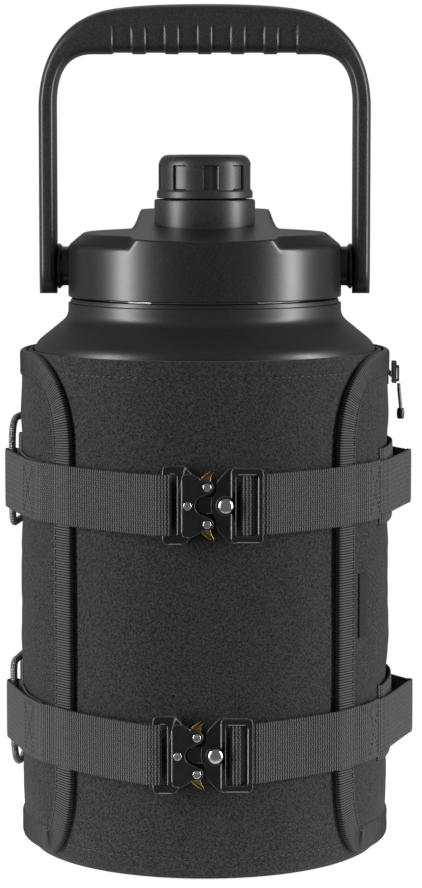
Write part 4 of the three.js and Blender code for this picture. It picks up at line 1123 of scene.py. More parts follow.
@dataclass
class Handle:
    """The bail handle: flat arms that swell into a deep grip with finger notches.

    Attributes:
        arm: Thickness of an arm.
        depth: Front-to-back depth.
        grip: Height of the grip.
        reach: From the grip's underside down to where the arms start to bend.
        notches: Number of finger notches.
        pitch: Distance between notches.
        notch: Width and height of a notch.
        sink: Depth of a notch.
    """

    arm: float = 7.8
    depth: float = 24.0
    grip: float = 22.0
    reach: float = 24.0
    notches: int = 6
    pitch: float = 14.6
    notch: tuple[float, float] = (8.6, 12.2)
    sink: float = 0.75

    def edges(self, half: float, top: float, foot: float) -> tuple[Array, Array]:
        """The outer and the inner edge of the handle's front view, matched point by point.

        Args:
            half: Half the outer width.
            top: Height of the grip's top.
            foot: Height of the arms' ends.

        Returns:
            The outer and inner lines from the left arm's end to the right arm's end.
        """
        under = top - self.grip
        corner = under - self.reach
        shoulder = (-0.6 * half, top - 2.8)
        bend = self.curve((-half, corner), (-half, corner + 19.0), (-half + 8.0, top - 8.0), shoulder)
        crest = self.curve(shoulder, (-0.45 * half, top - 0.4), (-0.2 * half, top), (0.0, top))
        outer = np.vstack([[[-half, foot]], bend, crest[1:]])
        side = half - self.arm
        hollow = self.curve((-side, corner + 2.0), (-side, corner + 15.0), (-side + 4.0, under),
                            (-side + 16.0, under))
        inner = np.vstack([[[-side, foot]], hollow, [[0.0, under]]])
        return tuple(np.vstack([line, line[-2::-1] * [-1.0, 1.0]]) for line in (outer, inner))

    @staticmethod
    def curve(a: Sequence[float], b: Sequence[float], c: Sequence[float], d: Sequence[float]) -> Array:
        """A cubic curve, (1 - t)^3 a + 3 t (1 - t)^2 b + 3 t^2 (1 - t) c + t^3 d."""
        t = np.linspace(0.0, 1.0, 50)[:, None]
        return ((1 - t) ** 3 * np.array(a) + 3 * t * (1 - t) ** 2 * np.array(b)
                + 3 * t * t * (1 - t) * np.array(c) + t ** 3 * np.array(d))

    def matched(self, outer: Array, inner: Array) -> tuple[Array, Array]:
        """Samples both edges at shares that keep corners facing corners and the grip finely divided."""
        def divided(part: Array, count: int, power: float) -> Array:
            """Points of a line at the shares (k / count)^power of its length, without the last."""
            run = lengths(part)
            at = run[-1] * (np.arange(count) / count) ** power
            return np.stack([np.interp(at, run, part[:, k]) for k in (0, 1)], axis=1)

        def spread(line: Array, corner: float, counts: tuple[int, int, int]) -> Array:
            """Points of the line: the arm, closest at its round end, the bend and the grip, mirrored."""
            path = resample(line, 0.2)
            half = path[: len(path) // 2 + 1]
            arm = half[half[:, 1] < corner]
            bent = half[half[:, 1] >= corner]
            turn = np.searchsorted(bent[:, 0], -0.72 * abs(line[0, 0]))
            parts = zip([arm, bent[: turn + 1], bent[turn:]], counts, (2.0, 1.0, 1.0))
            even = [divided(part, count, power) for part, count, power in parts]
            left = np.vstack(even + [half[-1:] * [0.0, 1.0]])
            return np.vstack([left, left[-2::-1] * [-1.0, 1.0]])

        corner = outer[:, 1].max() - self.grip - self.reach
        counts = (60, 44, 150)
        return spread(outer, corner, counts), spread(inner, corner, counts)

    def build(self) -> None:
        """Makes the handle as a rounded section between its two edges, with notches pushed in."""
        low, high = box_mm("handle")
        half, top, foot = high[0], high[2], low[2]
        outer, inner = self.matched(*self.edges(half, top, foot))
        section = box_section(1.0, 1.0, 96, 3.6)
        middle, reach = 0.5 * (outer + inner), 0.5 * (outer - inner)
        pivot = box_mm("pivot_pin_left")
        axis = 0.5 * (pivot[0][2] + pivot[1][2])
        drop = np.clip((axis - middle[:, 1]) / (self.depth / 2 + 0.2), 0.0, 0.999)
        depth = 0.5 * self.depth * np.sqrt(1.0 - drop * drop)
        a, b = section[None, :, 0], section[None, :, 1]
        swell = 1.0 + 0.06 * smooth_step(middle[:, 1], top - self.grip, top - 8.0)
        x = middle[:, :1] + a * reach[:, :1]
        z = middle[:, 1:2] + a * reach[:, 1:2]
        y = b * (depth * swell)[:, None]
        places = (np.arange(self.notches) - (self.notches - 1) / 2) * self.pitch
        width, tall = self.notch
        apart = np.min(np.abs(x[..., None] - places), axis=-1)
        bottom = top - self.grip
        inside = 1.0 - smooth_step(apart, width / 2 - 0.35, width / 2 + 0.35)
        inside = inside * (1.0 - smooth_step(z, bottom + tall - 0.4, bottom + tall + 0.4))
        inside = inside * (z > bottom - 2.0)
        under = inside * smooth_step(-a, 0.55, 0.95)
        y = y - np.sign(y) * self.sink * inside * smooth_step(np.abs(b), 0.3, 0.8)
        z = z + 0.9 * self.sink * under
        points = np.stack([x, y, z], axis=-1)
        patch = Patch(points, surface_uv(points), cap_ends=True)
        make_piece("bail_handle", [patch], Look.PAINTED_HIGHLIGHT_PLASTIC, "handle", ["handle"], crease=50.0)


# ---------------------------------------------------------------- sleeve
@dataclass
class Sleeve:
    """The padded cloth tube with its bottom, a pocket on each side, their tape edges and the label.

    Attributes:
        hem: Depth of the turned hem at the top.
        low_hem: Height of the seam above the bottom.
        stitch: Stitch length and gap.
        edge_angle: Angle from the front where a pocket's straight edge runs.
        top_corner: Angle and height of a pocket's upper corners.
        bottom_corner: Angle and height of its lower corners.
        tape: Width of the binding tape.
        rib: Distance between the tape's cords.
        pad: Thickness of a pocket.
        gap: Between the tube and a pocket.
        wall: Thickness of the tube.
        foot: Draw-in at the tube's bottom edge, and the height over which it rounds.
        spacing: Distance between the points of the binding's line.
    """

    hem: float = 7.4
    low_hem: float = 8.6
    stitch: tuple[float, float] = (2.2, 3.1)
    edge_angle: float = 45.5
    top_corner: tuple[float, float] = (24.0, 46.0)
    bottom_corner: tuple[float, float] = (12.0, 44.0)
    tape: float = 10.6
    rib: float = 1.15
    pad: float = 2.1
    gap: float = 0.6
    wall: float = 2.2
    foot: tuple[float, float] = (1.9, 9.0)
    spacing: float = 0.3

    def __post_init__(self) -> None:
        """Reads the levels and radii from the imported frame."""
        low, high = box_mm("sleeve_tube")
        self.radius, self.top, self.bottom = high[0], high[2], low[2]
        low, high = box_mm("pocket_left")
        self.pocket_foot, self.pocket_top = low[2], high[2]
        self.pocket_inner = self.radius + self.gap
        self.pocket_outer = self.pocket_inner + self.pad

    def seam(self, angles: Array, heights: Array, radius: float, up: bool) -> list[Patch]:
        """A row of stitches over the cloth.

        Args:
            angles: Angles of the stitches from the front.
            heights: Their heights.
            radius: Radius of the cloth's surface.
            up: Whether the seam runs upwards, and not round.

        Returns:
            The stitches.
        """
        centres = around(np.full(len(angles), radius + 0.02), angles, heights)
        out = unit(centres * [1.0, 1.0, 0.0])
        along = np.tile([0.0, 0.0, 1.0], (len(angles), 1)) if up else np.cross([0.0, 0.0, 1.0], out)
        return capsules(centres, along, out, self.stitch[0], 0.55)

    def round_seam(self, height: float, start: float, end: float, radius: float) -> list[Patch]:
        """Stitches round the sleeve at a height, between two angles."""
        count = int(math.radians(end - start) * radius / self.stitch[1])
        angles = np.linspace(start, end, count)
        return self.seam(angles, np.full(count, height), radius, up=False)

    def tube_wall(self) -> None:
        """The tube: an even wall with a turned hem, a groove at each seam and the slack of sewn cloth."""
        rows = np.concatenate([np.linspace(self.bottom, self.top - 16.0, 120),
                               np.linspace(self.top - 15.6, self.top - 0.9, 46)])[:, None]
        degrees = np.linspace(-180.0, 180.0, 481)[None, :]
        arc = np.radians(degrees) * self.radius
        slack = 0.16 * ripple(arc, rows, 46.0, 3) + 0.07 * ripple(arc, rows, 15.0, 4)
        calm = smooth_step(rows, self.bottom, self.bottom + 18.0)
        calm = calm * (1.0 - smooth_step(rows, self.top - 22.0, self.top - 9.0))
        calm = calm * smooth_step(180.0 - np.abs(degrees), 0.0, 14.0)
        slack = slack * calm - 0.12
        upper_seam, lower_seam = self.top - self.hem, self.bottom + self.low_hem
        for line in (upper_seam, lower_seam):
            slack = slack - 0.30 * np.exp(-((rows - line) / 0.75) ** 2)
        hem = 0.10 * smooth_step(rows, upper_seam, upper_seam + 0.8)
        pucker = 0.07 * np.sin(math.pi * arc / self.stitch[1])
        pucker = pucker * np.exp(-((rows - upper_seam) / 1.6) ** 2)
        draw, tall = self.foot
        foot = draw * (1.0 - np.sqrt(1.0 - np.clip((self.bottom + tall - rows) / tall, 0.0, 1.0) ** 2))
        outer = around(self.radius + slack + hem + pucker - foot, degrees, rows)
        inside_radius = self.radius - self.wall
        lip = rounded([[self.radius - 0.05, self.top - 0.9], [self.radius - 0.05, self.top, 0.8],
                       [inside_radius, self.top, 0.8], [inside_radius, self.top - 2.0]], steps=6)
        inner = np.vstack([lip[1:], [[inside_radius, self.bottom]]])
        inside = around(inner[:, :1], degrees, inner[:, 1:2])
        points = np.concatenate([outer, inside, outer[:1]])
        make_piece("sleeve_body", [Patch(points, surface_uv(points))], Look.CLOTH, "sleeve",
                   ["sleeve_tube"])
        stitches = [stitch for line in (upper_seam, lower_seam)
                    for stitch in self.round_seam(line, 0.0, 359.0, self.radius - 0.28)]
        make_piece("sleeve_seams", stitches, Look.THREAD, "sleeve")

    def floor(self) -> None:
        """The round bottom: a cloth-covered board with a piped edge."""
        _, high = box_mm("sleeve_base")
        edge = high[0]
        profile = rounded([[0.0, 0.9], [edge - 14.0, 0.7], [edge - 10.0, 0.0], [edge - 0.2, 0.0, 1.4],
                           [edge - 0.1, high[2], 0.8], [edge - 6.0, high[2]], [0.0, high[2] - 0.2]])
        make_piece("sleeve_bottom", [lathe(resample(profile, 1.0), 180)], Look.CLOTH, "sleeve",
                   ["sleeve_base"])

    def pocket_edge(self, z: Array) -> Array:
        """Angle of a pocket's front edge at a height: straight, with a large round corner at each end.

        Args:
            z: Heights.

        Returns:
            Angles from the front, in degrees.
        """
        def bend(t: Array) -> Array:
            """Superellipse quarter, 1 - (1 - t^2.6)^(1/2.2)."""
            return 1.0 - (1.0 - np.clip(t, 0.0, 1.0) ** 2.6) ** (1 / 2.2)

        upper = (z - self.pocket_top + self.top_corner[1]) / self.top_corner[1]
        lower = (self.pocket_foot + self.bottom_corner[1] - z) / self.bottom_corner[1]
        return self.edge_angle + self.top_corner[0] * bend(upper) + self.bottom_corner[0] * bend(lower)

    def outline(self, radius: float) -> Array:
        """A right pocket's outline laid flat: [distance round the sleeve from the front, height].

        Args:
            radius: Radius at which the distance is counted.

        Returns:
            Even points, closed, anticlockwise seen from outside.
        """
        t = 0.5 - 0.5 * np.cos(np.linspace(0.0, math.pi, 600))
        z = self.pocket_foot + t * (self.pocket_top - self.pocket_foot)
        front = np.stack([np.radians(self.pocket_edge(z)) * radius, z], axis=1)
        back = np.stack([np.radians(180.0 - self.pocket_edge(z)) * radius, z], axis=1)
        return resample(np.vstack([back, front[::-1]]), self.spacing, closed=True)

    def pocket(self, side: float, straps: Sequence["Strap"]) -> None:
        """One pocket: a thin crowned pad, soft between the straps and pressed flat under them.

        Args:
            side: 1 for the right pocket, -1 for the left.
            straps: The straps that hold it.
        """
        name = "right" if side > 0 else "left"
        t = 0.5 - 0.5 * np.cos(np.linspace(0.0, math.pi, 180))[:, None]
        z = self.pocket_foot + 0.5 + t * (self.pocket_top - self.pocket_foot - 1.0)
        edge = self.pocket_edge(z) + 0.6
        span = 180.0 - 2 * edge
        share = np.linspace(0.0, 1.0, 150)[None, :]
        angle = edge + span * share
        arc = np.radians(angle) * self.pocket_outer
        inward = np.minimum(np.minimum(share, 1 - share) * np.radians(span) * self.pocket_outer,
                            np.minimum(z - self.pocket_foot, self.pocket_top - z))
        free = smooth_step(inward, 8.0, 34.0)
        for strap in straps:
            away = np.abs(z - strap.level(arc / self.pocket_outer))
            free = free * smooth_step(away, 15.0, 32.0)
        puff = 0.75 * free * (1.0 + 0.35 * ripple(arc, z, 42.0, 11 + int(side)))
        crease = 0.13 * ripple(arc, z, 11.0, 21) * smooth_step(inward, 5.0, 20.0)
        swell = np.sqrt(np.clip(inward / 1.6, 0.0, 1.0))
        radius = self.pocket_outer - self.pad * (1 - swell) + puff + crease * (0.25 + 0.75 * free)
        outer = around(radius, angle, z)
        inner = around(np.full_like(angle, self.pocket_inner), angle, z)
        points = np.concatenate([outer, inner[::-1], outer[:1]])
        flip = np.array([side, 1.0, 1.0])
        wall = Patch(points * flip, surface_uv(points))
        sides = []
        for column in (0, -1):
            strip = np.stack([inner[:, column], outer[:, column]])
            sides.append(Patch(strip * flip, surface_uv(strip)))
        pad = make_piece(f"pocket_pad_{name}", [wall] + sides, Look.CLOTH, "sleeve",
                         [f"pocket_{name}"], crease=60.0)
        LOG.info("pocket %s puffs out to %.2f mm", name, float(puff.max()))

    def binding(self, side: float) -> None:
        """The ribbed tape folded over a pocket's edge, all the way round, with its row of stitches.

        The section is a hook: the tape's face on the pocket and its turn over the edge. Its face is lifted
        by 0.16 * cos(2 pi s / rib) along the tape to show the cords.

        Args:
            side: 1 for the right pocket, -1 for the left.
        """
        name = "right" if side > 0 else "left"
        radius = self.pocket_outer
        line = self.outline(radius)[:-1]
        tangent = unit(np.roll(line, -3, axis=0) - np.roll(line, 3, axis=0))
        inward = np.stack([-tangent[:, 1], tangent[:, 0]], axis=1)
        if np.sum(inward * (line.mean(axis=0) - line)) < 0:
            inward = -inward
        w = self.tape
        hook = rounded([[0.15, -1.9], [-0.55, -1.9, 0.3], [-0.55, 0.15, 1.2], [0.9, 0.75, 1.0],
                        [w - 0.4, 0.62, 0.4], [w, 0.25, 0.2], [w, -0.25, 0.2], [1.0, 0.0, 0.5],
                        [0.15, -0.7, 0.4]], closed=True, steps=4)
        hook = np.vstack([hook, hook[:1]])
        flip = np.array([side, 1.0, 1.0])
        s = np.arange(len(line)) * self.spacing
        cords = 0.16 * np.cos(2 * math.pi * s / self.rib)[:, None]
        facing = np.clip(hook[:, 1] / 0.5, 0.0, 1.0)[None, :]
        a, b = hook[None, :, 0], hook[None, :, 1] + cords * facing
        flat = line[:, None, :] + a[..., None] * inward[:, None, :]
        points = around(radius + b, np.degrees(flat[..., 0] / radius), flat[..., 1])
        points = np.concatenate([points, points[:1]]) * flip
        v = np.append(s, s[-1] + self.spacing)[:, None] + np.zeros((1, len(hook)))
        u = hook[None, :, 0] + np.zeros((len(v), 1))
        make_piece(f"binding_tape_{name}", [Patch(points, np.stack([u, v], axis=-1))], Look.TAPE, "sleeve",
                   [f"binding_{name}_front", f"binding_{name}_back"], crease=60.0)
        every = int(round(self.stitch[1] / self.spacing))
        row = line[::every] + (w - 1.6) * inward[::every]
        centres = around(np.full(len(row), radius + 0.72), np.degrees(row[:, 0] / radius), row[:, 1])
        out = unit(centres * [1.0, 1.0, 0.0])
        round_way = np.cross([0.0, 0.0, 1.0], out)
        along = tangent[::every, :1] * round_way + tangent[::every, 1:] * np.array([[0.0, 0.0, 1.0]])
        made = capsules(centres * flip, unit(along) * flip, out * flip, self.stitch[0], 0.5)
        make_piece(f"binding_stitches_{name}", made, Look.THREAD, "sleeve")

    def label(self) -> None:
        """The blank woven label on the right pocket, by its binding, with a groove along its border."""
        low, high = box_mm("label_tag")
        radius = self.pocket_outer + 0.55
        angles, heights = np.array([54.9, 59.7]), np.array([low[2] + 0.2, high[2] - 0.2])
        grid_a = np.linspace(angles[0], angles[1], 24)[None, :]
        grid_z = np.linspace(heights[0], heights[1], 60)[:, None]
        from_edge = np.minimum(np.minimum(grid_a - angles[0], angles[1] - grid_a) * 1.43,
                               np.minimum(grid_z - heights[0], heights[1] - grid_z))
        lift = 0.33 * np.sqrt(np.clip(from_edge / 0.5, 0.0, 1.0))
        lift = lift - 0.08 * np.exp(-((from_edge - 1.3) / 0.3) ** 2)
        outer = around(radius + lift, grid_a, grid_z)
        inner = around(np.full_like(lift, radius - 0.3), grid_a, grid_z)
        face, back = Patch(outer, surface_uv(outer)), Patch(inner[::-1], surface_uv(inner))
        strips = [np.stack([inner[k], outer[k]]) for k in (0, -1)]
        strips += [np.stack([inner[:, k], outer[:, k]]) for k in (0, -1)]
        rim = [Patch(strip, surface_uv(strip)) for strip in strips]
        make_piece("blank_label", [face, back] + rim, Look.LABEL, "sleeve", ["label_tag"],
                   crease=60.0)

    def build(self, straps: Sequence["Strap"]) -> None:
        """Makes the sleeve's pieces."""
        self.tube_wall()
        self.floor()
        for side in (1.0, -1.0):
            self.pocket(side, straps)
            self.binding(side)
        self.label()


# ---------------------------------------------------------------- webbing
@dataclass
class Strap:
    """One strap set: the two strap ends, the side loop, the rear band and the cord ring.

    Lines are seen from above, in millimetres, with the sleeve's axis at the origin and the front at -y.

    Attributes:
        prefix: upper or lower.
        rise: Height gained from the front towards the sides.
        ring_low: Lowest point of the cord ring from the strap's level at the side.
        ring_high: Its highest point.
        ring_radii: Reach of its corners' rounding below and above.
        stand_out: How far the side loop stands out from the webbing on the pocket.
        width: Width of the webbing.
        thickness: Its thickness.
        band: Width of the rear band.
        cord: Radius of the ring's cord.
        fold: Radius of the webbing's middle round the cord.
        layer: Radius of the webbing's middle where it lies on a pocket.
        above: Radius of a second layer.
        rib: Distance between the webbing's ribs.
        tack_pitch: Distance between the stitches of a sewn box.
    """

    prefix: str
    rise: float
    ring_low: float
    ring_high: float
    ring_radii: tuple[float, float]
    stand_out: float
    width: float = 26.0
    thickness: float = 1.3
    band: float = 34.0
    cord: float = 1.6
    fold: float = 2.7
    layer: float = 83.75
    above: float = 85.35
    rib: float = 1.2
    tack_pitch: float = 1.9

    def __post_init__(self) -> None:
        """Reads the buckle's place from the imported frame."""
        low, high = box_mm(f"{self.prefix}_adjuster_stud")
        self.buckle_x = 0.5 * (low[0] + high[0]) - Buckle.stud_u
        self.height = 0.5 * (low[2] + high[2])
        self.panel = box_mm("sleeve_tube")[1][0] + 0.3

    def level(self, angle: Array) -> Array:
        """Height of the webbing's middle at an angle from the front, in radians."""
        return self.height + self.rise * np.minimum(1.0, 1.0 - np.cos(angle))

    def at_buckle(self, points: Sequence[Sequence[float]]) -> Array:
        """Buckle places [u, w] seen from above."""
        return np.array([[self.buckle_x + u, -(self.panel + w)] for u, w in points])

    @staticmethod
    def arc(centre: Sequence[float], radius: float, start: float, end: float) -> Array:
        """Points of an arc about a centre, between two angles in degrees."""
        a = np.radians(np.linspace(start, end, max(4, int(abs(end - start) / 8))))
        return np.stack([centre[0] + radius * np.cos(a), centre[1] + radius * np.sin(a)], axis=1)

    @staticmethod
    def ring(radius: float, start: float, end: float) -> Array:
        """Points on a circle about the sleeve's axis, between two angles from the front."""
        count = max(2, int(abs(end - start) / 1.5))
        return around(np.array(radius), np.linspace(start, end, count), np.array(0.0))[:, :2]

    def front_fold(self) -> Array:
        """Middle of the cord in the left strap's fold."""
        return np.array([-(self.layer + 2.55), -4.6])

    def rear_fold(self) -> Array:
        """Middle of the cord in the rear band's fold."""
        return self.ring(self.layer + self.fold, -108.0, -108.0)[0]

    def left_line(self) -> Array:
        """The left strap: round the receiver's bar, over the pocket, round the cord and back under itself."""
        bar = self.at_buckle(np.vstack([[[-25.5, 1.55]], self.arc((-20.05, 3.4), 1.85, -90, 90),
                                        [[-23.2, 5.05]]]))
        return np.vstack([bar, self.ring(self.layer, -44.5, -51), self.ring(self.above, -56, -70),
                          self.arc(self.front_fold(), self.fold, 192, -6), self.ring(self.layer, -70, -58)])

    def right_line(self) -> Array:
        """The right strap: behind the adjuster's bar, over it, under the frame's end and on to the side."""
        lead = [[15.5, 4.65], [16.4, 4.2], [17, 3.1], [17.8, 2], [19, 1.6], [23, 1.6]]
        bar = self.at_buckle(np.vstack([[[16.2, 1.35]], self.arc((13.9, 3.0), 1.65, 270, 90), lead]))
        return np.vstack([bar, self.ring(self.layer, 44.5, 51), self.ring(self.above, 56, 63.5)])

    def loop_line(self) -> Array:
        """The side loop: sewn down in front, it stands out, turns and comes back behind."""
        turn = self.thickness / 2 + 1.0
        peak = (self.layer + self.stand_out - turn - self.thickness / 2, 1.5)
        root = [self.ring(self.layer, 57, 63), self.ring(self.above - 0.4, 66.5, 66.5)[:1],
                self.ring(self.above + 0.6, 70.5, 70.5)[:1]]
        return np.vstack(root + [self.arc(peak, turn, -14, 118), self.ring(self.above, 101, 110)])

    def band_line(self) -> Array:
        """The rear band: out of the pocket's slot, round the back, and round the cord."""
        inside = self.ring(self.layer - 2.55, 68.2, 68.2)[:1]
        lead = self.ring(self.layer - 1.2, 68.4, 68.4)[:1]
        slack = [self.ring(self.layer, 70, 112), self.ring(self.layer + 1.2, 118, 118)[:1],
                 self.ring(self.layer, 126, 248)]
        centre = self.rear_fold()
        inward = math.degrees(math.atan2(-centre[1], -centre[0]))
        turn = self.arc(centre, self.fold, inward, inward - 180.0)
        return np.vstack([inside, lead] + slack + [turn, self.ring(self.above, -120, -128)])

    def ribbon(self, line: Array, width: float, seed: int) -> Patch:
        """Webbing along a line seen from above, with its woven ribs and a little unevenness.

        The section is a rounded box. Its thickness is multiplied by 0.93 + 0.10 * |sin(pi s / rib)| along
        the band, so each rib shows, and the band's height wanders by a fraction of a millimetre.

        Args:
            line: Points seen from above.
            width: Width of the webbing.
            seed: Picks the unevenness.

        Returns:
            The ribbon's grid.
        """
        even = flow(resample(line, 0.3), 6)
        along = unit(np.gradient(even, axis=0))
        out = np.stack([along[:, 1], -along[:, 0], np.zeros(len(even))], axis=1)
        s = lengths(even)
        angle = np.arctan2(even[:, 0], -even[:, 1])
        wander = 0.18 * ripple(s, np.zeros_like(s), 60.0, seed)
        path = np.column_stack([even, self.level(angle) + wander])
        across = np.tile([0.0, 0.0, 1.0], (len(path), 1))
        section = box_section(0.5 * width, 0.5 * self.thickness, 40, 7.0)
        swell = 0.93 + 0.10 * np.abs(np.sin(math.pi * s / self.rib))
        patch = sweep(path, across, out, section, swell)
        edge = 0.12 * np.sin(2 * math.pi * s / self.rib)[:, None] * np.sign(section[None, :, 0])
        edge = edge * smooth_step(np.abs(section[None, :, 0]), 0.5 * width - 0.8, 0.5 * width)
        patch.points[..., 2] += edge
        return patch

    def tack(self, radius: float, start: float, end: float, width: float) -> list[Patch]:
        """A sewn box with a cross inside: four rows of stitches round it and two slanting ones.

        Args:
            radius: Radius of the webbing's outer surface.
            start: Angle of one side from the front.
            end: Angle of the other side.
            width: Height of the box.

        Returns:
            The stitches.
        """
        half = 0.5 * width
        corners = np.array([[start, -half], [end, -half], [end, half], [start, half], [start, -half],
                            [end, half], [end, -half], [start, half]])
        rows = []
        for a, b in zip(corners[:-1], corners[1:]):
            run = np.hypot(math.radians(b[0] - a[0]) * radius, b[1] - a[1])
            count = max(2, int(run / self.tack_pitch))
            share = (np.arange(count) + 0.5)[:, None] / count
            rows.append(np.hstack([a + (b - a) * share, np.tile(b - a, (len(share), 1))]))
        flat = np.vstack(rows)
        angle = np.radians(flat[:, 0])
        centres = around(np.full(len(flat), radius), flat[:, 0], self.level(angle) + flat[:, 1])
        out = unit(centres * [1.0, 1.0, 0.0])
        way = np.radians(flat[:, 2:3]) * radius * np.cross([0.0, 0.0, 1.0], out)
        along = unit(way + flat[:, 3:4] * np.array([[0.0, 0.0, 1.0]]))
        return capsules(centres, along, out, 1.5, 0.55)

    def ring_line(self) -> Array:
        """The cord ring: a rounded loop, upright in the plane of the two folds.

        Returns:
            Even points; the first is repeated last.
        """
        a, b = self.front_fold(), self.rear_fold()
        reach = float(np.hypot(*(b - a)))
        low_round, high_round = self.ring_radii
        loop = rounded([[0.0, self.ring_low, low_round], [reach, self.ring_low, low_round],
                        [reach, self.ring_high, high_round], [0.0, self.ring_high, high_round]],
                       closed=True, steps=12)
        even = resample(loop, 0.45, closed=True)
        flat = a + (b - a) * (even[:, :1] / reach)
        return np.column_stack([flat, self.height + self.rise + even[:, 1]])

    def build(self) -> None:
        """Makes the strap set's pieces."""
        p = self.prefix
        clip = f"{p}_clip"
        surface = self.above + 0.5 * self.thickness + 0.05
        for name, line, width, seed, body, node in (
            ("webbing_left", self.left_line(), self.width, 31, "sleeve", "strap_left"),
            ("webbing_right", self.right_line(), self.width, 32, clip, "strap_right"),
            ("finger_loop", self.loop_line(), self.width - 2.0, 33, "sleeve", "side_loop"),
            ("back_band", self.band_line(), self.band, 34, "sleeve", "rear_band"),
        ):
            make_piece(f"{p}_{name}", [self.ribbon(line, width, seed)], Look.WEB, body,
                       [f"{p}_{node}"], crease=60.0)
        stitches = self.tack(surface, -67.5, -61.0, self.width - 5.0)
        stitches += self.tack(surface, -127.0, -121.5, self.band - 6.0)
        stitches += self.tack(surface, 103.0, 109.0, 18.0)
        make_piece(f"{p}_box_stitches", stitches, Look.THREAD, "sleeve")
        end = self.tack(surface, 57.5, 63.0, self.width - 5.0)
        make_piece(f"{p}_end_stitches", end, Look.THREAD, clip)
        line = self.ring_line()
        make_piece(f"{p}_cord_loop", [tube(line, self.cord, 14, closed=True)], Look.CORD, "sleeve",
                   [f"{p}_cord_ring"], crease=60.0)


# ---------------------------------------------------------------- buckles
BUCKLE_TURN = np.array([[1.0, 0.0, 0.0], [0.0, 0.0, 1.0], [0.0, -1.0, 0.0]])


def frame_plate(outer: Array, inner: Array, centre: Sequence[float], low: float, high: float,
                bevel: float) -> Patch:
    """A flat frame with one opening and rounded edges, its outlines matched ray by ray.

    Going round its section: up the outer wall, over its rounded edge, across to the opening, down the
    opening's wall and back underneath.

    Args:
        outer: Outer outline, anticlockwise.
        inner: The opening's outline.
        centre: Point in the opening that sees all of both outlines.
        low: Height of the lower face.
        high: Height of the upper face.
        bevel: Radius of the rounded edges.

    Returns:
        The frame's closed grid.
    """
    inset, drop = edge_rings(bevel)
    side = [(d, low + h) for d, h in zip(inset, drop)]
    side += [(d, high - h) for d, h in zip(inset[::-1], drop[::-1])]
    rows = []
    for outline, sign, order in ((outer, 1.0, 1), (inner, -1.0, -1)):
        loop = by_angle(outline, centre, RAYS)
        tangent = unit(np.roll(loop, -1, axis=0) - np.roll(loop, 1, axis=0))
        into = sign * np.stack([-tangent[:, 1], tangent[:, 0]], axis=1)
        for d, z in side[::order]:
            flat = loop + d * into
            rows.append(np.column_stack([flat, np.full(len(flat), z)]))
    grid = np.stack(rows + rows[:1])
    grid = np.concatenate([grid, grid[:, :1]], axis=1)
    return Patch(grid, np.stack([grid[..., 0], grid[..., 1] + grid[..., 2]], axis=-1))


def by_angle(outline: Array, centre: Sequence[float], count: int) -> Array:
    """A closed outline sampled along evenly turned rays from a centre that sees all of it.

    Args:
        outline: The closed outline.
        centre: Where the rays start.
        count: Number of rays.

    Returns:
        One point for each ray, anticlockwise.
    """
    fine = resample(outline, 0.05, closed=True)[:-1] - np.array(centre)
    turn = np.arctan2(fine[:, 1], fine[:, 0])
    order = np.argsort(turn)
    rays = np.linspace(-math.pi, math.pi, count, endpoint=False)
    far = np.hypot(fine[order, 0], fine[order, 1])
    reach = np.interp(rays, turn[order], far, period=2 * math.pi)
    return np.stack([centre[0] + reach * np.cos(rays), centre[1] + reach * np.sin(rays)], axis=1)


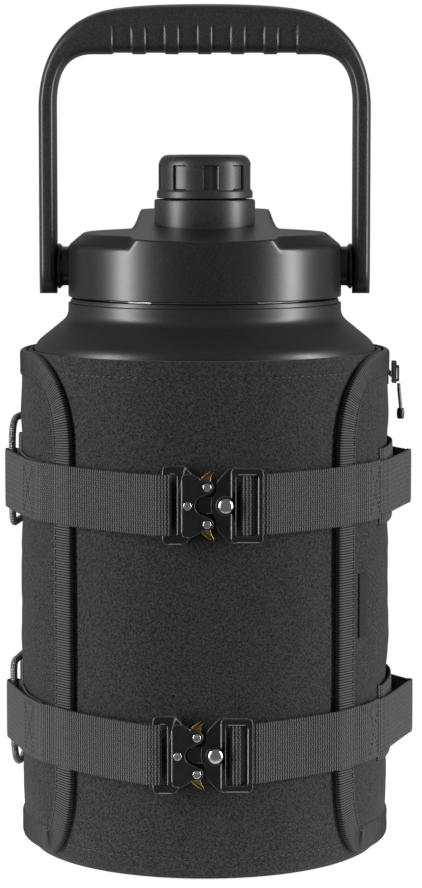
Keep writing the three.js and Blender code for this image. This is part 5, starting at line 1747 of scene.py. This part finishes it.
@dataclass
class Buckle:
    """A metal side-release buckle, in its own plane: u to the right, v up and w out of the sleeve.

    Attributes:
        strap: The strap set that it closes.
        back: w of the back plate's two faces.
        cover: w of the cover's two faces.
        half: Half height of the frames.
        slot: Half height of the webbing slots.
        raised: w of the adjuster's raised rim.
        pivot: u and v of the upper lever's rivet.
        stud_u: u of the stud.
    """

    strap: Strap
    back: tuple[float, float] = (0.4, 1.9)
    cover: tuple[float, float] = (4.5, 6.3)
    half: float = 16.4
    slot: float = 13.2
    raised: float = 5.6
    pivot: tuple[float, float] = (-2.6, 7.9)
    stud_u: float = 5.3

    def placed(self, patches: Iterable[Patch]) -> list[Patch]:
        """Patches of the buckle's own plane, moved to the jug's frame."""
        shift = (self.strap.buckle_x, -self.strap.panel, self.strap.height)
        return [moved(patch, BUCKLE_TURN, shift) for patch in patches]

    def piece(self, name: str, patches: Iterable[Patch], look: Look, body: str, slot: str, node: str) -> None:
        """Makes one piece of the buckle in place of its CAD node."""
        p = self.strap.prefix
        make_piece(f"{p}_{name}", self.placed(patches), look, body, [f"{p}_{node}"], crease=35.0)

    @staticmethod
    def outline(corners: Sequence[Sequence[float]]) -> Array:
        """An outline from corners with radii, evenly divided."""
        return resample(rounded(corners, closed=True, steps=7), 0.25, closed=True)[:-1]

    def oblong(self, left: float, right: float, half: float, radius: float) -> Array:
        """The outline of a rectangle about the buckle's middle line, with equally rounded corners."""
        return self.outline([[left, -half, radius], [right, -half, radius], [right, half, radius],
                             [left, half, radius]])

    def receiver(self) -> None:
        """The receiver: back plate, spacer, and a front frame whose end bar holds the left strap."""
        tall = self.half + 0.4
        upper = [[-15.4, tall, 0.6], [-12.2, tall, 0.9], [-9.0, 13.4, 0.9], [-8.0, 12.6, 0.9],
                 [-1.5, 10.6, 2.2], [0.1, 8.5, 1.2], [-0.6, 5.5, 1.0], [-1.9, 4.0, 0.6]]
        corners = upper[::-1] + [[u, -v, r] for u, v, r in upper]
        back = plate(self.outline(corners), self.back[0], self.back[1], 0.35)
        front = self.cover[0] - 0.1
        block = [[-15.2, -13.0, 0.5], [-9.2, -13.0, 0.8], [-9.2, 13.0, 0.8], [-15.2, 13.0, 0.5]]
        spacer = plate(self.outline(block), self.back[0], front - 0.3, 0.3)
        edge = [[-21.6, -tall, 2.5], [-12.2, -tall, 1.0], [-9.0, -13.4, 0.9]]
        outer = self.outline(edge + [[u, -v, r] for u, v, r in edge[::-1]])
        slot = self.oblong(-19.4, -15.4, self.slot, 0.8)
        end = frame_plate(outer, slot, (-17.4, 0.0), 2.35, front, 0.5)
        self.piece("receiver_frame", [back, spacer, end], Look.BLACK_METAL, "sleeve", "anodised",
                   "buckle_receiver")

    def cover_plate(self) -> None:
        """The cover: two lobes over the pivots, with a round recess for the tongue between them."""
        u, v = self.pivot
        recess = Strap.arc((-3.8, 0.0), 3.9, 180, 100)
        lobe = Strap.arc((u, v), 2.75, -62, 100)
        upper = [[a, b, 0.4] for a, b in np.vstack([recess[1:], lobe])]
        upper += [[-5.0, 10.7, 0.8], [-5.6, 11.6, 0.8], [-9.2, 13.6, 1.2], [-13.5, 13.6, 2.6]]
        corners = [[a, -b, r] for a, b, r in upper[::-1]] + [[-7.7, 0.0, 0.4]] + upper
        soft = resample(rounded(corners, closed=True, steps=5), 0.22, closed=True)[:-1]
        made = plate(soft, self.cover[0], self.cover[1], 0.4)
        self.piece("cover_plate", [made], Look.BLACK_METAL, "sleeve", "anodised", "buckle_cover")

    def adjuster(self) -> None:
        """The adjuster: wings and tongue, with a raised rim, an island for the stud and a thin bar."""
        wing = [[1.2, 6.4, 0.8], [1.5, 10.3, 1.6], [7.0, 16.2, 2.2], [9.8, 16.2, 0.3]]
        waist = [[-0.7, 3.4, 0.8], [0.6, 4.7, 0.8]] + wing
        wings = self.outline([[-1.1, 0.0, 0.6]] + [[a, -b, r] for a, b, r in waist] + waist[::-1])
        slot, seat = self.slot - 0.2, self.raised - 1.2
        ring = frame_plate(self.oblong(7.5, 21.3, 15.9, 1.9), self.oblong(9.8, 19.0, slot, 0.8),
                           (14.4, 0.0), 2.6, self.raised, 0.45)
        island = [[a, b, 0.4] for a, b in Strap.arc((self.stud_u, 0.0), 4.3, 55, 305)]
        island += [[8.7, -6.5, 1.2], [9.4, -6.5, 0.2], [9.4, 6.5, 0.2], [8.7, 6.5, 1.2]]
        nose = Strap.arc((-3.4, 0.0), 3.6, 90, 270)
        tongue = self.outline([[a, b, 0.3] for a, b in nose] + [[3.0, -3.6, 0.2], [3.0, 3.6, 0.2]])
        patches = [plate(wings, 1.2, seat, 0.4), ring,
                   plate(self.outline(island), seat - 0.4, self.raised, 0.45),
                   plate(self.oblong(13.4, 15.4, slot + 0.5, 0.3), 2.4, 3.6, 0.5),
                   plate(tongue, 2.3, 4.1, 0.4)]
        self.piece("adjuster_frame", patches, Look.BLACK_METAL, f"{self.strap.prefix}_clip", "anodised",
                   "buckle_adjuster")

    def lever(self, place: str, side: float) -> None:
        """A brass lever: a hub round its rivet and a curved fin for the finger."""
        hub = Strap.arc((0.0, 0.0), 2.4, 130, 410)
        fin = np.array([[1.9, 4.4], [3.1, 6.6], [3.3, 7.6], [0.3, 6.2], [-2.1, 4.4], [-2.9, 2.6]])
        corners = [[a, b, 0.5] for a, b in np.vstack([hub, fin])]
        shape = resample(rounded(corners, closed=True, steps=4), 0.2, closed=True)
        shape = shape[:-1] + np.array(self.pivot)
        if side < 0:
            shape = (shape * [1.0, -1.0])[::-1]
        prefix = self.strap.prefix
        self.piece(f"lever_fin_{place}", [plate(shape, 2.3, 4.1, 0.4)], Look.BRASS, f"{prefix}_lever_{place}",
                   "lever_brass", f"lever_{place}")

    def rivet(self, name: str, u: float, v: float) -> None:
        """A domed rivet with a turned rim, through the back plate and the cover."""
        low, top = self.back[0] - 0.1, self.cover[1]
        profile = rounded([[0.0, low], [1.25, low], [1.25, top + 0.1], [1.83, top + 0.1, 0.2],
                           [1.75, top + 0.6, 0.35], [1.1, top + 0.78, 0.3], [0.75, top + 0.62, 0.2],
                           [0.0, top + 0.68]])
        turned = moved(lathe(profile, 40), np.eye(3), (u, v, 0.0))
        self.piece(f"rivet_pin_{name}", [turned], Look.STEEL, "sleeve", "rivet_steel", f"rivet_{name}")

    def stud(self) -> None:
        """The polished domed stud that the tongue's waist is set with."""
        seat = self.cover[1] - 0.4
        profile = rounded([[0.0, 1.0], [1.4, 1.0], [1.4, seat], [3.35, seat, 0.2], [3.3, seat + 0.9, 0.4],
                           [2.3, seat + 1.85, 0.9], [0.0, seat + 2.1]], steps=10)
        turned = moved(lathe(profile, 64), np.eye(3), (self.stud_u, 0.0, 0.0))
        self.piece("stud_dome", [turned], Look.STEEL, f"{self.strap.prefix}_clip", "rivet_steel",
                   "adjuster_stud")

    def build(self) -> None:
        """Makes the buckle's pieces."""
        self.receiver()
        self.cover_plate()
        self.adjuster()
        u, v = self.pivot
        for place, side in (("top", 1.0), ("bottom", -1.0)):
            self.lever(place, side)
            self.rivet(place, u, side * v)
            dress(f"{self.strap.prefix}_spring_{place}", Look.STEEL)
        self.rivet("left", -10.9, 0.0)
        self.stud()


# ---------------------------------------------------------------- zip
@dataclass
class Zip:
    """The short zip of the right pocket: tape, coil, slider and a doubled cord as its pull.

    Attributes:
        start: Angle from the front where the tape starts.
        end: Where it ends.
        slider: Angle of the slider.
        tape: Width of the tape.
        tooth: Distance between the coil's turns.
    """

    start: float = 88.0
    end: float = 108.0
    slider: float = 91.5
    tape: float = 9.0
    tooth: float = 1.25

    def band(self) -> None:
        """The tape with a ridge along each edge, bent round the pocket."""
        low, high = box_mm("zipper_tape")
        middle, outer = 0.5 * (low[2] + high[2]), high[0] - 0.05
        degrees = np.linspace(self.start, self.end, 120)[:, None]
        section = np.array([[-0.5, -0.4], [-0.5, 0.0], [-0.46, 0.08], [-0.4, 0.0], [-0.12, 0.0],
                            [-0.08, -0.2], [0.08, -0.2], [0.12, 0.0], [0.4, 0.0], [0.46, 0.08], [0.5, 0.0],
                            [0.5, -0.4], [-0.5, -0.4]])
        points = around(outer + section[None, :, 1], degrees, middle + self.tape * section[None, :, 0])
        make_piece("zip_band", [Patch(points, surface_uv(points), cap_ends=True)], Look.TAPE, "sleeve",
                   ["zipper_tape"])

    def coil(self) -> None:
        """The coil: one flattened helix, with a turn for each tooth."""
        low, high = box_mm("zipper_coil")
        middle = 0.5 * (low[2] + high[2])
        inner, outer = high[0] - 1.05, high[0] - 0.05
        angle = np.radians(np.linspace(self.start + 0.6, self.end - 0.6, 1400))
        turn = angle * outer / self.tooth * 2 * math.pi
        centre = 0.5 * (inner + outer)
        radius = centre + (0.5 * (outer - inner) - 0.24) * np.cos(turn)
        path = around(radius, np.degrees(angle), middle + 1.1 * np.sin(turn))
        make_piece("zip_teeth", [tube(path, 0.26, 6, closed=False)], Look.ENAMEL, "sleeve",
                   ["zipper_coil"], crease=60.0)

    def pull(self) -> None:
        """The pull: two cord strands that leave the slider's eye and meet in a moulded end."""
        low, high = box_mm("zipper_pull_cord")
        angle = math.radians(self.slider)
        top, drop = high[2], high[2] - low[2]
        out = np.array([math.sin(angle), -math.cos(angle), 0.0])
        side = np.array([math.cos(angle), math.sin(angle), 0.0])
        t = np.linspace(0.0, 1.0, 60)
        lean = box_mm("zipper_slider")[1][0] - 0.1 + 0.9 * smooth_step(t, 0.0, 1.0)
        strands = []
        for sign in (1.0, -1.0):
            spread = sign * (0.55 + 0.75 * np.sin(math.pi * np.clip(t * 1.05, 0.0, 1.0)) ** 1.5)
            line = lean[:, None] * out + spread[:, None] * side
            line[:, 2] = top - 0.5 - (drop - 4.0) * t
            strands.append(tube(line, 0.72, 10, closed=False))
        bead = rounded([[0.0, 0.0], [1.5, 0.0, 0.7], [1.75, 2.5, 0.8], [1.5, 5.0, 0.8], [0.0, 5.0]], steps=6)
        place = lean[-1] * out + np.array([0.0, 0.0, low[2]])
        knob = moved(lathe(bead, 32), np.eye(3), place)
        make_piece("zip_pull_cords", strands, Look.CORD, "zip_slider",
                   ["zipper_pull_cord"], crease=60.0)
        make_piece("zip_pull_end", [knob], Look.PLASTIC, "zip_slider",
                   ["zipper_pull_cord"])

    def build(self) -> None:
        """Makes the zip's pieces."""
        self.band()
        self.coil()
        self.pull()
        dress("zipper_slider", Look.ENAMEL)


# ---------------------------------------------------------------- studio
@dataclass
class Studio:
    """Camera, floor and lights. Sizes are in metres.

    Attributes:
        target: Point that the camera looks at.
        distance: From the target to the camera.
        elevation: Of the camera above the target, in degrees.
        view: Vertical angle of view, in degrees.
        ambient: Strength of the surround as a light.
    """

    target: tuple[float, float, float] = (0.0028, 0.0, 0.1807)
    distance: float = 1.35
    elevation: float = 6.0
    view: float = 16.84
    ambient: float = 0.20

    def camera(self) -> None:
        """The camera, at the front and a little above."""
        data = bpy.data.cameras.new("front_camera")
        data.sensor_fit = "VERTICAL"
        data.angle = math.radians(self.view)
        item = bpy.data.objects.new("front_camera", data)
        tilt = math.radians(self.elevation)
        x, y, z = self.target
        item.location = (x, y - self.distance * math.cos(tilt), z + self.distance * math.sin(tilt))
        item.rotation_euler = (math.radians(90.0) - tilt, 0.0, 0.0)
        bpy.context.scene.collection.objects.link(item)
        bpy.context.scene.camera = item

    def lamp(self, name: str, azimuth: float, elevation: float, distance: float, size: tuple[float, float],
             power: float) -> None:
        """A soft rectangular light that faces the jug.

        Args:
            name: Its name.
            azimuth: Angle from the front, in degrees, positive to the right.
            elevation: Angle above the jug's middle.
            distance: From the jug's middle.
            size: Width and height.
            power: In watts.
        """
        data = bpy.data.lights.new(name, "AREA")
        data.shape, data.size, data.size_y, data.energy = "RECTANGLE", size[0], size[1], power
        item = bpy.data.objects.new(name, data)
        a, e = math.radians(azimuth), math.radians(elevation)
        item.location = (distance * math.sin(a) * math.cos(e), -distance * math.cos(a) * math.cos(e),
                         0.2 + distance * math.sin(e))
        item.rotation_euler = (math.radians(90.0) - e, 0.0, a)
        bpy.context.scene.collection.objects.link(item)

    def world(self) -> None:
        """A white surround that lights the jug more weakly than it looks."""
        world = bpy.data.worlds.new("white_surround")
        world.use_nodes = True
        tree = world.node_tree
        background = tree.nodes["Background"]
        path = tree.nodes.new("ShaderNodeLightPath")
        level = tree.nodes.new("ShaderNodeMapRange")
        level.inputs["To Min"].default_value = self.ambient
        level.inputs["To Max"].default_value = 1.0
        tree.links.new(path.outputs["Is Camera Ray"], level.inputs["Value"])
        tree.links.new(level.outputs["Result"], background.inputs["Strength"])
        background.inputs["Color"].default_value = (1.0, 1.0, 1.0, 1.0)
        bpy.context.scene.world = world
        bpy.context.scene.view_settings.view_transform = "Standard"

    def floor(self) -> None:
        """A pale floor under the jug that fades to nothing between 0.09 m and 0.25 m from its middle."""
        radii, degrees = np.array([0.0, 0.1, 0.3, 0.9])[:, None], np.linspace(0.0, 360.0, 97)[None, :]
        points = around(radii, degrees, -0.0002)
        patch = Patch(points, surface_uv(points))
        mesh = bpy.data.meshes.new("pale_floor")
        mesh.from_pydata(points.reshape(-1, 3).tolist(), [], patch.faces(0))
        close_seams(mesh)
        item = bpy.data.objects.new("pale_floor", mesh)
        bpy.context.scene.collection.objects.link(item)
        shader = Shader("pale_floor")
        parts = shader.node("ShaderNodeSeparateXYZ", {}, shader.place())
        x, y = (Value(shader, parts.outputs[k]) for k in (0, 1))
        away = (((x * x + y * y) ** 0.5 - 0.09) / 0.16).clamped()
        # Base colour darker towards the jug's foot: a painted shade round it.
        shader.colour((0.80, 0.80, 0.80), (0.90, 0.90, 0.90), away)
        shader.roughness(0.75 + 0.1 * shader.noise(400.0, 1.0))
        shader.tree.links.new((0.85 * (1.0 - away) ** 2.0).socket, shader.surface.inputs["Alpha"])
        shader.constant(Emission_Color=(1.0, 1.0, 1.0, 1.0), Emission_Strength=0.75, Specular_IOR_Level=0.0)
        mesh.materials.append(shader.material)

    def build(self) -> None:
        """Sets up the studio."""
        self.world()
        self.floor()
        self.lamp("left_softbox", -69.0, 8.0, 1.5, (0.30, 1.5), 34.0)
        self.lamp("right_softbox", 76.0, 8.0, 1.5, (0.30, 1.5), 34.0)
        self.lamp("back_light", 180.0, 40.0, 1.8, (1.2, 1.0), 2.0)


def main() -> None:
    """Builds the whole scene in order."""
    logging.basicConfig(level=logging.INFO, format="%(name)s: %(message)s")
    studio = Studio()
    studio.camera()
    studio.build()
    straps = [Strap("upper", 3.0, -21.0, 26.0, (5.6, 11.05), 9.4),
              Strap("lower", 5.4, -27.0, 21.0, (15.2, 4.55), 10.8)]
    Bottle().build()
    Lid().build()
    SpoutCap().build()
    Handle().build()
    Sleeve().build(straps)
    for strap in straps:
        strap.build()
        Buckle(strap).build()
    Zip().build()


if __name__ == "__main__":
    main()
